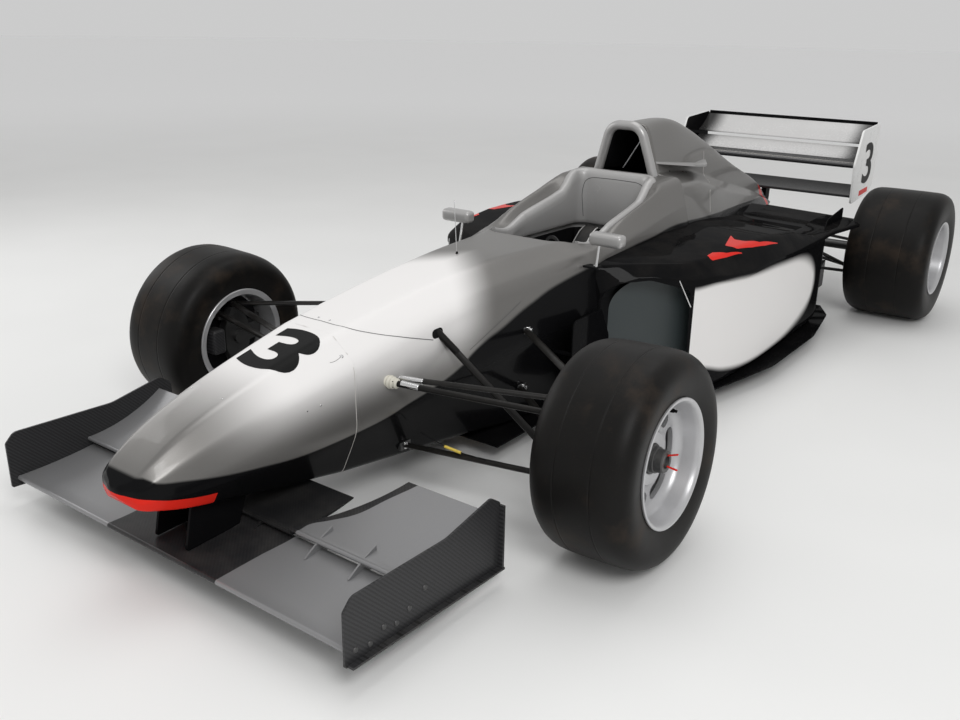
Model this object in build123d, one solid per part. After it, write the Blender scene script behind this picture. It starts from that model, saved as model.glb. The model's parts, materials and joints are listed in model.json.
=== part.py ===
from build123d import *
import os
from math import cos, hypot, radians, sin, tan

# Driving dimensions in millimetres
# Stations run backwards from the front axle, x is to the driver's left, z is up from the road
WHEELBASE = 2900.0
HALF_TRACK_WIDTH = 1000.0
NOSE_TIP = -985.0
TAIL_OVERHANG = 519.0
TAIL_END = WHEELBASE + TAIL_OVERHANG
FRAME_SHIFT = -(NOSE_TIP + TAIL_END) / 2

# Wheels and tyres
FRONT_TYRE_RADIUS = 297.0
FRONT_TYRE_WIDTH = 288.0
REAR_TYRE_RADIUS = 313.0
REAR_TYRE_WIDTH = 380.0
TREAD_INSET = 46.0
SHOULDER_DROP = 50.0
FRONT_CAMBER = 2.3
RIM_FLANGE_RADIUS = 178.0
RIM_FLANGE_WIDTH = 7.0
RIM_SEAT_RADIUS = 165.0
RIM_WALL = 7.0
RIM_INSET = 5.0
TYRE_SEAT_GAP = 0.3
BEAD_GAP = 4.0
FRONT_DISH_DEPTH = 74.0
REAR_DISH_DEPTH = 120.0
WHEEL_DISC_THICKNESS = 14.0
WHEEL_BOSS_RADIUS = 72.0
WHEEL_BOSS_HEIGHT = 8.0
KIDNEY_COUNT = 6
KIDNEY_RADIUS = 114.0
KIDNEY_WIDTH = 42.0
KIDNEY_SWEEP = 30.0
HUB_RADIUS = 42.0
HUB_FLANGE_RADIUS = 62.0
HUB_FLANGE_THICKNESS = 10.0
HUB_SHAFT_RADIUS = 22.0
BEARING_GAP = 0.5
NUT_RADIUS = 30.0
NUT_HEIGHT = 34.0
BRAKE_DISC_RADIUS = 126.0
BRAKE_DISC_THICKNESS = 28.0
FRONT_BRAKE_OFFSET = -30.0
REAR_BRAKE_OFFSET = -22.0
CALLIPER_OUTER_RADIUS = 148.0
CALLIPER_GAP = 5.0
CALLIPER_CHEEK = 14.0

# Steering and suspension
KINGPIN_INSET = 96.0
KINGPIN_RADIUS = 8.0
UPPER_REACH = 104.0
LOWER_REACH = 118.0
UPRIGHT_WIDTH = 40.0
LUG_RADIUS = 18.0
LUG_HEIGHT = 20.0
STEERING_ARM_LENGTH = 60.0
STEERING_ARM_RISE = 80.0
STEERING_ARM_THICKNESS = 10.0
TRACK_ROD_RADIUS = 9.0
ROD_EYE_RADIUS = 14.0
ROD_EYE_HEIGHT = 14.0
ROD_EYE_BORE = 8.0
ARM_STUD_RADIUS = 5.0
JOINT_GAP = 0.5
RACK_STATION = -224.0
RACK_HEIGHT = 412.0
RACK_RADIUS = 10.0
RACK_HALF_LENGTH = 208.0
RACK_BORE = 16.0
RACK_CLEVIS = 9.5
LEG_CHORD = 30.0
LEG_THICKNESS = 15.0
REAR_UPRIGHT_INSET = 92.0
REAR_REACH = 118.0

# Body, floor and wings
FLOOR_TOP = 56.0
FLOOR_THICKNESS = 6.0
STEP_RISE = 14.0
DECK_TOP = FLOOR_TOP + STEP_RISE
PLANK_THICKNESS = 10.0
PLANK_HALF_WIDTH = 150.0
SPLITTER_FRONT = 242.0
SPLITTER_HALF_WIDTH = 250.0
FLOOR_FRONT = 770.0
FLOOR_REAR = WHEELBASE - 340
SEAM_GAP = 0.3
NOSE_SEAM = -340.0
TUB_REAR = 1500.0
TANK_REAR = 1840.0
TANK_HALF_WIDTH = 184.0
COCKPIT_FRONT = 712.0
COCKPIT_REAR = 1425.0
COCKPIT_FLOOR = 120.0
DASH_REAR = 640.0
FOOTWELL_TOP = 440.0
ENGINE_HALF_WIDTH = 138.0
ENGINE_TOP = 420.0
COVER_REAR = WHEELBASE + 214
GEARBOX_FRONT = WHEELBASE - 520
GEARBOX_REAR = WHEELBASE + 280
GEARBOX_HALF_WIDTH = 105.0
STARTER_HEIGHT = 348.0
STARTER_RADIUS = 17.0
HOOP_STATION = 1478.0
HOOP_HALF_WIDTH = 130.0
HOOP_FOOT = 784.0
HOOP_TOP = 1002.0
HOOP_TUBE = 19.0
COVER_WALL = 10.0
FENCE_X = 600.0
FENCE_THICKNESS = 5.0
FENCE_LENGTH = 250.0
FENCE_RISE = 66.0
BACKREST_TOP = 552.0
HEADREST_LOW = 560.0
BARGEBOARD_X = 342.0
WINGLET_ROOT_HEIGHT = 843.0
WINGLET_FALL = 55.0
WINGLET_THICKNESS = 9.0
INLET_FRONT_EDGE = 785.0
POD_REAR = WHEELBASE - 344
INLET_DEPTH = 400.0
WING_HALF_SPAN = 668.0
FRONT_PLATE_THICKNESS = 6.0
REAR_WING_HALF_SPAN = 488.0
REAR_PLATE_THICKNESS = 10.0
BEAM_WING_FRONT = TAIL_END - 359
WHEEL_CENTRE = (0, 842, 492)
WHEEL_RIM_RADIUS = 105.0
WHEEL_GRIP = 11.0
COLUMN_TILT = 12.0
COLUMN_RADIUS = 12.0
COLUMN_LENGTH = 250.0


# Outlines made of straight runs, with an arc at each corner that has a radius
def rounded_loop(corners, radii):
    points = [Vector(*corner) for corner in corners]
    starts = []
    middles = []
    ends = []
    for i, corner in enumerate(points):
        towards = (points[i - 1] - corner).normalized()
        away = (points[(i + 1) % len(points)] - corner).normalized()
        half_angle = radians(towards.get_angle(away)) / 2
        reach = radii[i] / tan(half_angle)
        bisector = (towards + away).normalized()
        starts.append(corner + towards * reach)
        middles.append(corner + bisector * (radii[i] / sin(half_angle) - radii[i]))
        ends.append(corner + away * reach)
    edges = []
    for i, radius in enumerate(radii):
        if radius > 0:
            edges.append(Edge.make_three_point_arc(starts[i], middles[i], ends[i]))
        edges.append(Edge.make_line(ends[i], starts[(i + 1) % len(points)]))
    return Wire(edges)


def hull(rows):
    """Loft of symmetric sections. A row is a station, its left half's corners and their radii."""
    wires = []
    for station, half_corners, radii in rows:
        left = [(x, station, z) for x, z in half_corners]
        right = [(-x, station, z) for x, z in reversed(half_corners)]
        wires.append(rounded_loop(left + right, list(radii) + list(reversed(radii))))
    return Solid.make_loft(wires, ruled=True)


def box_between(low, high):
    size = [b - a for a, b in zip(low, high)]
    centre = [(a + b) / 2 for a, b in zip(low, high)]
    return Pos(*centre) * Box(*size)


def plate(corners, radii, x_low, x_high):
    """Upright plate with its outline (y, z) along the car, between two values of x."""
    wire = rounded_loop([(x_low, y, z) for y, z in corners], radii)
    return extrude(Face(wire), amount=x_high - x_low, dir=(1, 0, 0))


def panel(corners, radii, z_low, z_high):
    """Level panel with its outline (x, y) seen from above, between two heights."""
    wire = rounded_loop([(x, y, z_low) for x, y in corners], radii)
    return extrude(Face(wire), amount=z_high - z_low, dir=(0, 0, 1))


def rod(start, end, radius):
    path = Vector(*end) - Vector(*start)
    return Solid.make_cylinder(radius, path.length, Plane(origin=start, z_dir=path))


def leg(start, end, chord=LEG_CHORD, thickness=LEG_THICKNESS):
    """Streamlined suspension leg between two points, its long section along the car."""
    path = Vector(*end) - Vector(*start)
    along = path.cross(Vector(0, 0, 1)).normalized()
    upward = along.cross(path).normalized()
    first = Vector(*start) - along * (chord / 2)
    last = Vector(*start) + along * (chord / 2)
    top = Edge.make_three_point_arc(first, Vector(*start) + upward * (thickness / 2), last)
    bottom = Edge.make_three_point_arc(last, Vector(*start) - upward * (thickness / 2), first)
    return extrude(Face(Wire([top, bottom])), amount=path.length, dir=path.normalized())


def pair(shape):
    """The solids of a left side shape and of its mirror image."""
    return Compound(shape.solids() + shape.mirror(Plane.YZ).solids())


nodes = {}


def add_sides(name, shape):
    nodes[name + "_left"] = shape
    nodes[name + "_right"] = shape.mirror(Plane.YZ)


# Wheels: profiles are drawn beside the axle, (distance along it, radius), outboard side positive
def spun(corners):
    wire = rounded_loop([(a, 0, r) for a, r in corners], [0] * len(corners))
    return revolve(Face(wire), axis=Axis.X, revolution_arc=360)


def tyre_side(radius, width):
    """Corners of a tyre's outboard half, from the bead out to the tread."""
    half = width / 2
    bead_half = half - RIM_INSET - RIM_FLANGE_WIDTH - BEAD_GAP
    return [(bead_half, RIM_SEAT_RADIUS + TYRE_SEAT_GAP), (half, radius - SHOULDER_DROP), (half - TREAD_INSET, radius)]


def tyre_ring(radius, width):
    side = tyre_side(radius, width)
    return spun(side + [(-a, r) for a, r in reversed(side)])


def wheel_rim(width, dish_depth):
    """Flanged barrel and dished disc in one, with a ring of kidney shaped openings."""
    flange = width / 2 - RIM_INSET
    bore = RIM_SEAT_RADIUS - RIM_WALL
    face = flange - dish_depth
    back = face - WHEEL_DISC_THICKNESS
    hub_bore = HUB_RADIUS + BEARING_GAP
    edge = [(flange, RIM_FLANGE_RADIUS), (flange - RIM_FLANGE_WIDTH, RIM_FLANGE_RADIUS),
            (flange - RIM_FLANGE_WIDTH, RIM_SEAT_RADIUS)]
    dish = [(back, bore), (back, hub_bore), (face + WHEEL_BOSS_HEIGHT, hub_bore),
            (face + WHEEL_BOSS_HEIGHT, WHEEL_BOSS_RADIUS), (face, WHEEL_BOSS_RADIUS), (face, bore), (flange, bore)]
    wheel = spun(edge + [(-a, r) for a, r in reversed(edge)] + [(-flange, bore)] + dish)
    slots = []
    for i in range(KIDNEY_COUNT):
        start = 360 / KIDNEY_COUNT * i - KIDNEY_SWEEP / 2
        slot = SlotArc(CenterArc((0, 0), KIDNEY_RADIUS, start, KIDNEY_SWEEP), KIDNEY_WIDTH)
        slots.append(extrude(Plane.YZ.offset(back - 5) * slot, amount=WHEEL_DISC_THICKNESS + 10))
    return wheel - slots


def wheel_hub(width, dish_depth, brake_offset, shaft_end):
    """Shaft, brake disc, drum with its drive flange, and the wheel nut, all in one."""
    face = width / 2 - RIM_INSET - dish_depth
    seat = face - WHEEL_DISC_THICKNESS - JOINT_GAP
    drum_end = face + WHEEL_BOSS_HEIGHT
    disc_low = brake_offset - BRAKE_DISC_THICKNESS / 2
    disc_high = brake_offset + BRAKE_DISC_THICKNESS / 2
    hub = spun([(shaft_end, 0), (shaft_end, HUB_SHAFT_RADIUS), (disc_low, HUB_SHAFT_RADIUS), (disc_low, BRAKE_DISC_RADIUS),
                (disc_high, BRAKE_DISC_RADIUS), (disc_high, HUB_RADIUS), (seat - HUB_FLANGE_THICKNESS, HUB_RADIUS),
                (seat - HUB_FLANGE_THICKNESS, HUB_FLANGE_RADIUS), (seat, HUB_FLANGE_RADIUS), (seat, HUB_RADIUS),
                (drum_end, HUB_RADIUS), (drum_end, 0)])
    nut = extrude(Plane.YZ.offset(drum_end) * RegularPolygon(NUT_RADIUS, 6), amount=NUT_HEIGHT)
    return hub + nut


LEAN_COS = cos(radians(FRONT_CAMBER))
LEAN_SIN = sin(radians(FRONT_CAMBER))
FRONT_TYRE_SIDE = tyre_side(FRONT_TYRE_RADIUS, FRONT_TYRE_WIDTH)
FRONT_AXLE_HEIGHT = max(r * LEAN_COS + a * LEAN_SIN for a, r in FRONT_TYRE_SIDE)
FRONT_WHEEL_X = HALF_TRACK_WIDTH - max(a * LEAN_COS + r * LEAN_SIN for a, r in FRONT_TYRE_SIDE)
REAR_WHEEL_X = HALF_TRACK_WIDTH - REAR_TYRE_WIDTH / 2
FRONT_WHEEL_PLACE = Location((FRONT_WHEEL_X, 0, FRONT_AXLE_HEIGHT), (0, -FRONT_CAMBER, 0))
REAR_WHEEL_PLACE = Location((REAR_WHEEL_X, WHEELBASE, REAR_TYRE_RADIUS))
KINGPIN_X = FRONT_WHEEL_X - KINGPIN_INSET
UPPER_JOINT_Z = FRONT_AXLE_HEIGHT + UPPER_REACH
LOWER_JOINT_Z = FRONT_AXLE_HEIGHT - LOWER_REACH
FRONT_SHAFT_END = -KINGPIN_INSET - UPRIGHT_WIDTH / 2 - 12
REAR_UPRIGHT_X = REAR_WHEEL_X - REAR_UPRIGHT_INSET
REAR_SHAFT_END = GEARBOX_HALF_WIDTH + 4 - REAR_WHEEL_X


def build_wheels():
    front = (FRONT_TYRE_WIDTH, FRONT_DISH_DEPTH)
    rear = (REAR_TYRE_WIDTH, REAR_DISH_DEPTH)
    front_hub = wheel_hub(*front, FRONT_BRAKE_OFFSET, FRONT_SHAFT_END)
    rear_hub = wheel_hub(*rear, REAR_BRAKE_OFFSET, REAR_SHAFT_END)
    add_sides("front_tyre", tyre_ring(FRONT_TYRE_RADIUS, FRONT_TYRE_WIDTH).moved(FRONT_WHEEL_PLACE))
    add_sides("front_rim", wheel_rim(*front).moved(FRONT_WHEEL_PLACE))
    add_sides("front_hub", front_hub.moved(FRONT_WHEEL_PLACE))
    add_sides("rear_tyre", tyre_ring(REAR_TYRE_RADIUS, REAR_TYRE_WIDTH).moved(REAR_WHEEL_PLACE))
    add_sides("rear_rim", wheel_rim(*rear).moved(REAR_WHEEL_PLACE))
    add_sides("rear_hub", rear_hub.moved(REAR_WHEEL_PLACE))


def calliper(axle_y, axle_z, disc_x, web_x):
    """Brake calliper astride the disc behind the axle, with its foot on the upright."""
    half = BRAKE_DISC_THICKNESS / 2 + CALLIPER_GAP
    inner = BRAKE_DISC_RADIUS * 0.62
    block = plate([(axle_y + inner, axle_z - 56), (axle_y + CALLIPER_OUTER_RADIUS, axle_z - 40),
                   (axle_y + CALLIPER_OUTER_RADIUS, axle_z + 40), (axle_y + inner, axle_z + 56)],
                  [0, 0, 0, 0], disc_x - half - CALLIPER_CHEEK, disc_x + half + CALLIPER_CHEEK)
    trim = rod((disc_x - 100, axle_y, axle_z), (disc_x + 100, axle_y, axle_z), CALLIPER_OUTER_RADIUS)
    slot = rod((disc_x - half, axle_y, axle_z), (disc_x + half, axle_y, axle_z), BRAKE_DISC_RADIUS + CALLIPER_GAP)
    foot = box_between((web_x, axle_y + 20, axle_z - 30), (disc_x - half - 2, axle_y + inner + 20, axle_z + 30))
    return (block & trim) - slot + foot


def lug(x, y, z_low, z_high):
    return rod((x, y, z_low), (x, y, z_high), LUG_RADIUS)


def build_front_uprights():
    low_x = KINGPIN_X - UPRIGHT_WIDTH / 2
    high_x = KINGPIN_X + UPRIGHT_WIDTH / 2
    z = FRONT_AXLE_HEIGHT
    top = z + UPPER_REACH - 4
    bottom = z - LOWER_REACH + 4
    web = plate([(-52, z - 40), (-20, bottom), (20, bottom), (52, z - 40), (52, z + 40), (20, top), (-20, top), (-52, z + 40)],
                [0] * 8, low_x + 4, high_x - 4)
    upper = lug(KINGPIN_X, 0, UPPER_JOINT_Z - LUG_HEIGHT, UPPER_JOINT_Z)
    lower = lug(KINGPIN_X, 0, LOWER_JOINT_Z, LOWER_JOINT_Z + LUG_HEIGHT)
    arm_z = z + STEERING_ARM_RISE
    tip = -STEERING_ARM_LENGTH
    arm = panel([(low_x + 2, -10), (high_x - 2, -10), (KINGPIN_X + 12, tip - 12), (KINGPIN_X - 12, tip - 12)],
                [0, 0, 6, 6], arm_z - STEERING_ARM_THICKNESS, arm_z)
    stud = rod((KINGPIN_X, tip, arm_z), (KINGPIN_X, tip, arm_z + ROD_EYE_HEIGHT + 4), ARM_STUD_RADIUS)
    brake = calliper(0, z, FRONT_WHEEL_X + FRONT_BRAKE_OFFSET, low_x + 6)
    bearing = rod((-300, 0, 0), (FRONT_BRAKE_OFFSET - BRAKE_DISC_THICKNESS / 2 - 1, 0, 0), HUB_SHAFT_RADIUS + BEARING_GAP)
    upright = web + upper + lower + arm + stud + brake - bearing.moved(FRONT_WHEEL_PLACE)
    for z_low, z_high in ((UPPER_JOINT_Z - LUG_HEIGHT - 6, UPPER_JOINT_Z + 1), (LOWER_JOINT_Z - 1, LOWER_JOINT_Z + LUG_HEIGHT + 6)):
        upright = upright - rod((KINGPIN_X, 0, z_low), (KINGPIN_X, 0, z_high), KINGPIN_RADIUS + JOINT_GAP)
    add_sides("front_upright", upright)


# Where the legs meet the tub: x, station, height
UPPER_FRONT_PIVOT = (178, -176, 406)
UPPER_REAR_PIVOT = (236, 405, 420)
LOWER_FRONT_PIVOT = (140, -109, 160)
LOWER_REAR_PIVOT = (205, 425, 205)
PUSHROD_TOP = (150, 33, 500)


def build_front_suspension(tub_outer):
    """Wishbones with their ball joint pins, the lower one with the pushrod on it."""
    upper_out = (KINGPIN_X, 0, UPPER_JOINT_Z + JOINT_GAP + LUG_HEIGHT / 2)
    lower_out = (KINGPIN_X, 0, LOWER_JOINT_Z - JOINT_GAP - LUG_HEIGHT / 2)
    upper = leg(upper_out, UPPER_FRONT_PIVOT) + leg(upper_out, UPPER_REAR_PIVOT)
    upper += lug(KINGPIN_X, 0, UPPER_JOINT_Z + JOINT_GAP, UPPER_JOINT_Z + JOINT_GAP + LUG_HEIGHT)
    upper += rod((KINGPIN_X, 0, UPPER_JOINT_Z - LUG_HEIGHT), (KINGPIN_X, 0, UPPER_JOINT_Z + 5), KINGPIN_RADIUS)
    lower = leg(lower_out, LOWER_FRONT_PIVOT) + leg(lower_out, LOWER_REAR_PIVOT)
    lower += lug(KINGPIN_X, 0, LOWER_JOINT_Z - JOINT_GAP - LUG_HEIGHT, LOWER_JOINT_Z - JOINT_GAP)
    lower += rod((KINGPIN_X, 0, LOWER_JOINT_Z - 5), (KINGPIN_X, 0, LOWER_JOINT_Z + LUG_HEIGHT), KINGPIN_RADIUS)
    lower += leg((KINGPIN_X - 70, -2, LOWER_JOINT_Z - JOINT_GAP - 6), PUSHROD_TOP, 26, 20)
    nodes["front_upper_wishbones"] = pair(upper - tub_outer)
    nodes["front_lower_wishbones"] = pair(lower - tub_outer)


# Rear legs: where each starts at the upright (back from the axle, above it) and ends inboard (x, back, above)
REAR_LEGS = [
    ((0, 128), (40, -260, 122)),
    ((0, 128), (30, 120, 128)),
    ((0, -128), (60, -330, -72)),
    ((0, -128), (50, 120, -52)),
    ((86, 2), (30, 215, 22)),
]


def build_rear_suspension(gearbox, cover_outer):
    axle = REAR_TYRE_RADIUS
    parts = []
    for (back, rise), (inner_x, inner_back, inner_rise) in REAR_LEGS:
        outer = (REAR_UPRIGHT_X, WHEELBASE + back, axle + rise)
        parts.append(leg(outer, (inner_x, WHEELBASE + inner_back, axle + inner_rise)))
    upper = parts[0] + parts[1] + lug(REAR_UPRIGHT_X, WHEELBASE, axle + REAR_REACH, axle + REAR_REACH + LUG_HEIGHT)
    lower = parts[2] + parts[3] + lug(REAR_UPRIGHT_X, WHEELBASE, axle - REAR_REACH - LUG_HEIGHT, axle - REAR_REACH)
    lower += leg((REAR_UPRIGHT_X - 60, WHEELBASE - 28, axle - REAR_REACH - 8), (60, WHEELBASE - 200, axle + 130), 24, 18)
    upright = rear_upright()
    solids = []
    for arm in (upper, lower, parts[4]):
        trimmed = arm - gearbox - cover_outer - upright
        solids.append(max(trimmed.solids(), key=lambda solid: solid.volume))
    nodes["rear_wishbones"] = pair(Compound(solids))
    nodes["rear_uprights"] = pair(upright)


def rear_upright():
    x = REAR_UPRIGHT_X
    z = REAR_TYRE_RADIUS
    y = WHEELBASE
    web = plate([(y - 60, z - 40), (y - 28, z - REAR_REACH), (y + 28, z - REAR_REACH), (y + 66, z - 20), (y + 96, z - 14),
                 (y + 96, z + 16), (y + 60, z + 40), (y + 28, z + REAR_REACH), (y - 28, z + REAR_REACH), (y - 60, z + 40)],
                [0] * 10, x - 18, x + 18)
    bore = rod((x - 40, y, z), (x + 60, y, z), HUB_SHAFT_RADIUS + BEARING_GAP)
    return web + calliper(y, z, REAR_WHEEL_X + REAR_BRAKE_OFFSET, x - 10) - bore


# Body hulls: each row is a station, the left half's corners (x, z) from the bottom up, and their radii
NOSE_ROWS = [
    (NOSE_TIP, [(22, 294), (34, 306), (34, 322), (20, 334)], (6, 6, 6, 6)),
    (-968, [(64, 274), (78, 296), (76, 330), (52, 350)], (12, 14, 16, 14)),
    (-930, [(86, 262), (102, 300), (96, 346), (62, 378)], (20, 26, 28, 20)),
    (-850, [(92, 238), (126, 300), (112, 374), (68, 422)], (24, 44, 44, 30)),
    (-700, [(98, 208), (152, 300), (134, 416), (74, 476)], (28, 70, 56, 36)),
    (-500, [(110, 172), (180, 300), (162, 462), (80, 528)], (34, 90, 62, 40)),
    (NOSE_SEAM, [(120, 143), (194, 306), (178, 494), (88, 563)], (40, 110, 66, 44)),
]
TUB_ROWS = [
    (NOSE_SEAM + SEAM_GAP, [(120, 143), (194, 306), (178, 494), (88, 563)], (40, 110, 66, 44)),
    (-100, [(130, 113), (216, 330), (190, 530), (94, 600)], (40, 120, 70, 46)),
    (176, [(150, 84), (238, 350), (205, 560), (104, 630)], (36, 130, 70, 50)),
    (450, [(180, 54), (262, 380), (222, 580), (124, 645)], (30, 130, 66, 54)),
    (700, [(205, 50), (290, 400), (248, 600), (152, 646)], (30, 130, 60, 54)),
    (850, [(210, 50), (298, 430), (274, 610), (200, 664)], (30, 125, 50, 46)),
    (1000, [(215, 50), (304, 460), (282, 630), (226, 706)], (30, 120, 46, 34)),
    (1180, [(215, 50), (308, 490), (284, 652), (234, 746)], (30, 120, 46, 34)),
    (1320, [(215, 50), (310, 515), (280, 668), (238, 778)], (30, 120, 46, 34)),
    (TUB_REAR, [(215, 50), (308, 540), (272, 680), (240, 790)], (30, 120, 46, 34)),
]
# Here the station is a share of the way from the cover's front to its tail
COVER_ROWS = [
    (0, [(255, 330), (304, 540), (238, 770), (132, 794), (70, 990)], (0, 90, 30, 0, 50)),
    (0.16, [(240, 330), (286, 520), (204, 740), (118, 778), (60, 996)], (0, 90, 40, 0, 48)),
    (0.3, [(220, 335), (262, 500), (176, 690), (100, 740), (50, 938)], (0, 80, 40, 0, 40)),
    (0.43, [(190, 345), (228, 480), (146, 640), (84, 690), (40, 862)], (0, 70, 40, 0, 32)),
    (0.68, [(130, 385), (152, 460), (98, 560), (52, 600), (22, 706)], (0, 40, 30, 0, 18)),
    (0.93, [(66, 420), (76, 452), (52, 486), (30, 500), (13, 560)], (0, 14, 12, 0, 10)),
    (1, [(44, 430), (50, 446), (38, 458), (24, 464), (10, 484)], (0, 6, 6, 0, 6)),
]
COVER_HOLLOW_ROWS = 5


def placed(rows, front, rear):
    """Rows with the share of the way turned into a station."""
    return [(front + row[0] * (rear - front), *row[1:]) for row in rows]


def hollow_rows(rows, wall, low_z):
    """The same sections one wall further in, and open below."""
    inner = []
    for station, corners, radii in rows:
        pulled = [(x - wall, z - wall) for x, z in corners]
        pulled[0] = (pulled[0][0], low_z)
        inner.append((station, pulled, tuple(max(radius - wall / 2, 0) for radius in radii)))
    return inner


def cockpit_cut():
    """The opening seen from above, its well, the leg room ahead and the steering column's bore."""
    mouth = panel([(-184, COCKPIT_FRONT), (184, COCKPIT_FRONT), (200, 1000), (188, COCKPIT_REAR),
                   (-188, COCKPIT_REAR), (-200, 1000)], [90, 90, 0, 70, 70, 0], 300, 900)
    well = panel([(-198, DASH_REAR), (198, DASH_REAR), (198, COCKPIT_REAR - 20), (-198, COCKPIT_REAR - 20)],
                 [60] * 4, COCKPIT_FLOOR, 520)
    legs = box_between((-150, -60, COCKPIT_FLOOR + 40), (150, DASH_REAR + 20, FOOTWELL_TOP))
    column = steering_column(COLUMN_RADIUS + JOINT_GAP, COLUMN_LENGTH + 6)
    return mouth + well + legs + column


def build_body():
    nose = hull(NOSE_ROWS)
    pylon = plate([(-850, 108), (-680, 112), (-640, 225), (-820, 245)], [0, 0, 0, 0], 58, 66)
    main_plane = front_main_plane()
    nose_cone = nose
    for solid in pair(pylon).solids():
        nose_cone = nose_cone + (solid - main_plane)
    below_floor = box_between((-400, SPLITTER_FRONT - 600, -100), (400, TUB_REAR + 50, FLOOR_TOP + SEAM_GAP))
    tub_outer = hull(TUB_ROWS) - below_floor
    rack_bore = rod((-400, RACK_STATION, RACK_HEIGHT), (400, RACK_STATION, RACK_HEIGHT), RACK_BORE)
    tank = box_between((-TANK_HALF_WIDTH, TUB_REAR - 20, FLOOR_TOP + SEAM_GAP), (TANK_HALF_WIDTH, TANK_REAR, ENGINE_TOP))
    cover_rows = placed(COVER_ROWS, TUB_REAR + SEAM_GAP, COVER_REAR)
    cover_outer = hull(cover_rows)
    inner_rows = hollow_rows(cover_rows[:COVER_HOLLOW_ROWS], COVER_WALL, 200)
    inner_rows[0] = (TUB_REAR - 20, inner_rows[0][1], inner_rows[0][2])
    nodes["nose_cone"] = nose_cone
    nodes["front_main_plane"] = main_plane
    nodes["monocoque"] = tub_outer - cockpit_cut() - rack_bore + tank
    nodes["engine_cover"] = cover_outer - hull(inner_rows)
    nodes["engine"] = box_between((-ENGINE_HALF_WIDTH, TANK_REAR + SEAM_GAP, FLOOR_TOP + SEAM_GAP),
                                  (ENGINE_HALF_WIDTH, GEARBOX_FRONT - SEAM_GAP, ENGINE_TOP))
    return tub_outer, cover_outer


# Sidepods: share of the way back, inner x, wall's x, lip's x and height, ridge's x and height, height at the tub.
# The first rows widen quickly, so that the inlet's mouth is swept back
SIDEPOD_ROWS = [
    (0, 190, 296, 300, 470, 262, 560, 588),
    (0.058, 190, 426, 430, 530, 372, 572, 592),
    (0.123, 190, 562, 567, 519, 508, 575, 598),
    (0.167, 190, 594, 605, 524, 545, 577, 600),
    (0.233, 190, 619, 630, 512, 570, 582, 606),
    (0.302, 190, 631, 643, 504, 588, 588, 612),
    (0.42, 190, 641, 652, 513, 598, 588, 608),
    (0.593, 190, 643, 655, 498, 595, 560, 580),
    (0.731, 190, 626, 654, 500, 564, 532, 544),
    (0.827, 190, 606, 654, 505, 534, 520, 528),
    (0.912, 156, 506, 672, 503, 522, 520, 528),
    (1, 156, 318, 690, 500, 540, 522, 530),
]


def sidepod_hull():
    """Pod with its top lip, which runs on as a shelf where the wall draws in ahead of the rear wheel."""
    wires = []
    for row in placed(SIDEPOD_ROWS, INLET_FRONT_EDGE, POD_REAR):
        station, inner, side, lip_x, lip_z, ridge_x, ridge_z, inner_top = row
        corners = [(inner, DECK_TOP + SEAM_GAP), (side, DECK_TOP + SEAM_GAP), (side, lip_z - 26),
                   (lip_x, lip_z - 20), (lip_x, lip_z), (ridge_x, ridge_z), (inner, inner_top)]
        foot_radius = (side - inner) * 0.13
        wires.append(rounded_loop([(x, station, z) for x, z in corners], [0, foot_radius, 0, 0, 12, 24, 0]))
    return Solid.make_loft(wires, ruled=True)


def pod_fence():
    """Upright fence on the shelf, ahead of the rear wheel."""
    front = POD_REAR - FENCE_LENGTH
    low = SIDEPOD_ROWS[-1][4]
    return plate([(front, low), (POD_REAR, low), (POD_REAR, low + FENCE_RISE), (front + 30, low + FENCE_RISE * 0.6)],
                 [0, 0, 10, 20], FENCE_X, FENCE_X + FENCE_THICKNESS)


def inlet_cut():
    """The mouth and duct, with the round inner end that shows from ahead."""
    corners = [(302, 118), (558, 118), (552, 486), (440, 520), (302, 500)]
    wire = rounded_loop([(x, INLET_FRONT_EDGE - 10, z) for x, z in corners], [0, 40, 26, 40, 120])
    return extrude(Face(wire), amount=INLET_DEPTH + 10, dir=(0, 1, 0))


def radiator(tub_outer):
    """Cooler core that stands slanted across the inlet duct."""
    core = panel([(286, 862), (302, 850), (572, 1140), (556, 1154)], [0, 0, 0, 0], 118.3, 560)
    return (core & inlet_cut()) - tub_outer


def build_sidepods(tub_outer, cover_outer):
    pod = sidepod_hull() + pod_fence() - tub_outer - cover_outer - inlet_cut()
    add_sides("sidepod", max(pod.solids(), key=lambda solid: solid.volume))
    nodes["radiators"] = pair(radiator(tub_outer))


def build_floor():
    """Splitter under the tub, stepped deck beside it and the plank beneath."""
    low = FLOOR_TOP - FLOOR_THICKNESS
    floor = box_between((-SPLITTER_HALF_WIDTH, SPLITTER_FRONT, low), (SPLITTER_HALF_WIDTH, FLOOR_REAR, FLOOR_TOP))
    half_outline = [(400, FLOOR_FRONT), (560, 900), (650, 1330), (694, 1560), (694, FLOOR_REAR - 500),
                    (636, FLOOR_REAR - 140), (560, FLOOR_REAR)]
    half_radii = [60, 200, 300, 300, 300, 60, 0]
    deck = panel([(-x, y) for x, y in reversed(half_outline)] + half_outline, half_radii[::-1] + half_radii,
                 DECK_TOP - FLOOR_THICKNESS, DECK_TOP)
    inner = SPLITTER_HALF_WIDTH - 8
    deck = deck - box_between((-inner, 0, 0), (inner, 4000, 300))
    for side in (-1, 1):
        x = side * (SPLITTER_HALF_WIDTH - 4)
        floor = floor + box_between((x - 4, FLOOR_FRONT, low), (x + 4, FLOOR_REAR, DECK_TOP))
    nodes["floor"] = floor + deck
    nodes["plank"] = panel([(-PLANK_HALF_WIDTH, SPLITTER_FRONT + 40), (PLANK_HALF_WIDTH, SPLITTER_FRONT + 40),
                            (PLANK_HALF_WIDTH, FLOOR_REAR), (-PLANK_HALF_WIDTH, FLOOR_REAR)], [60, 60, 0, 0],
                           low - PLANK_THICKNESS, low)


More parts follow.
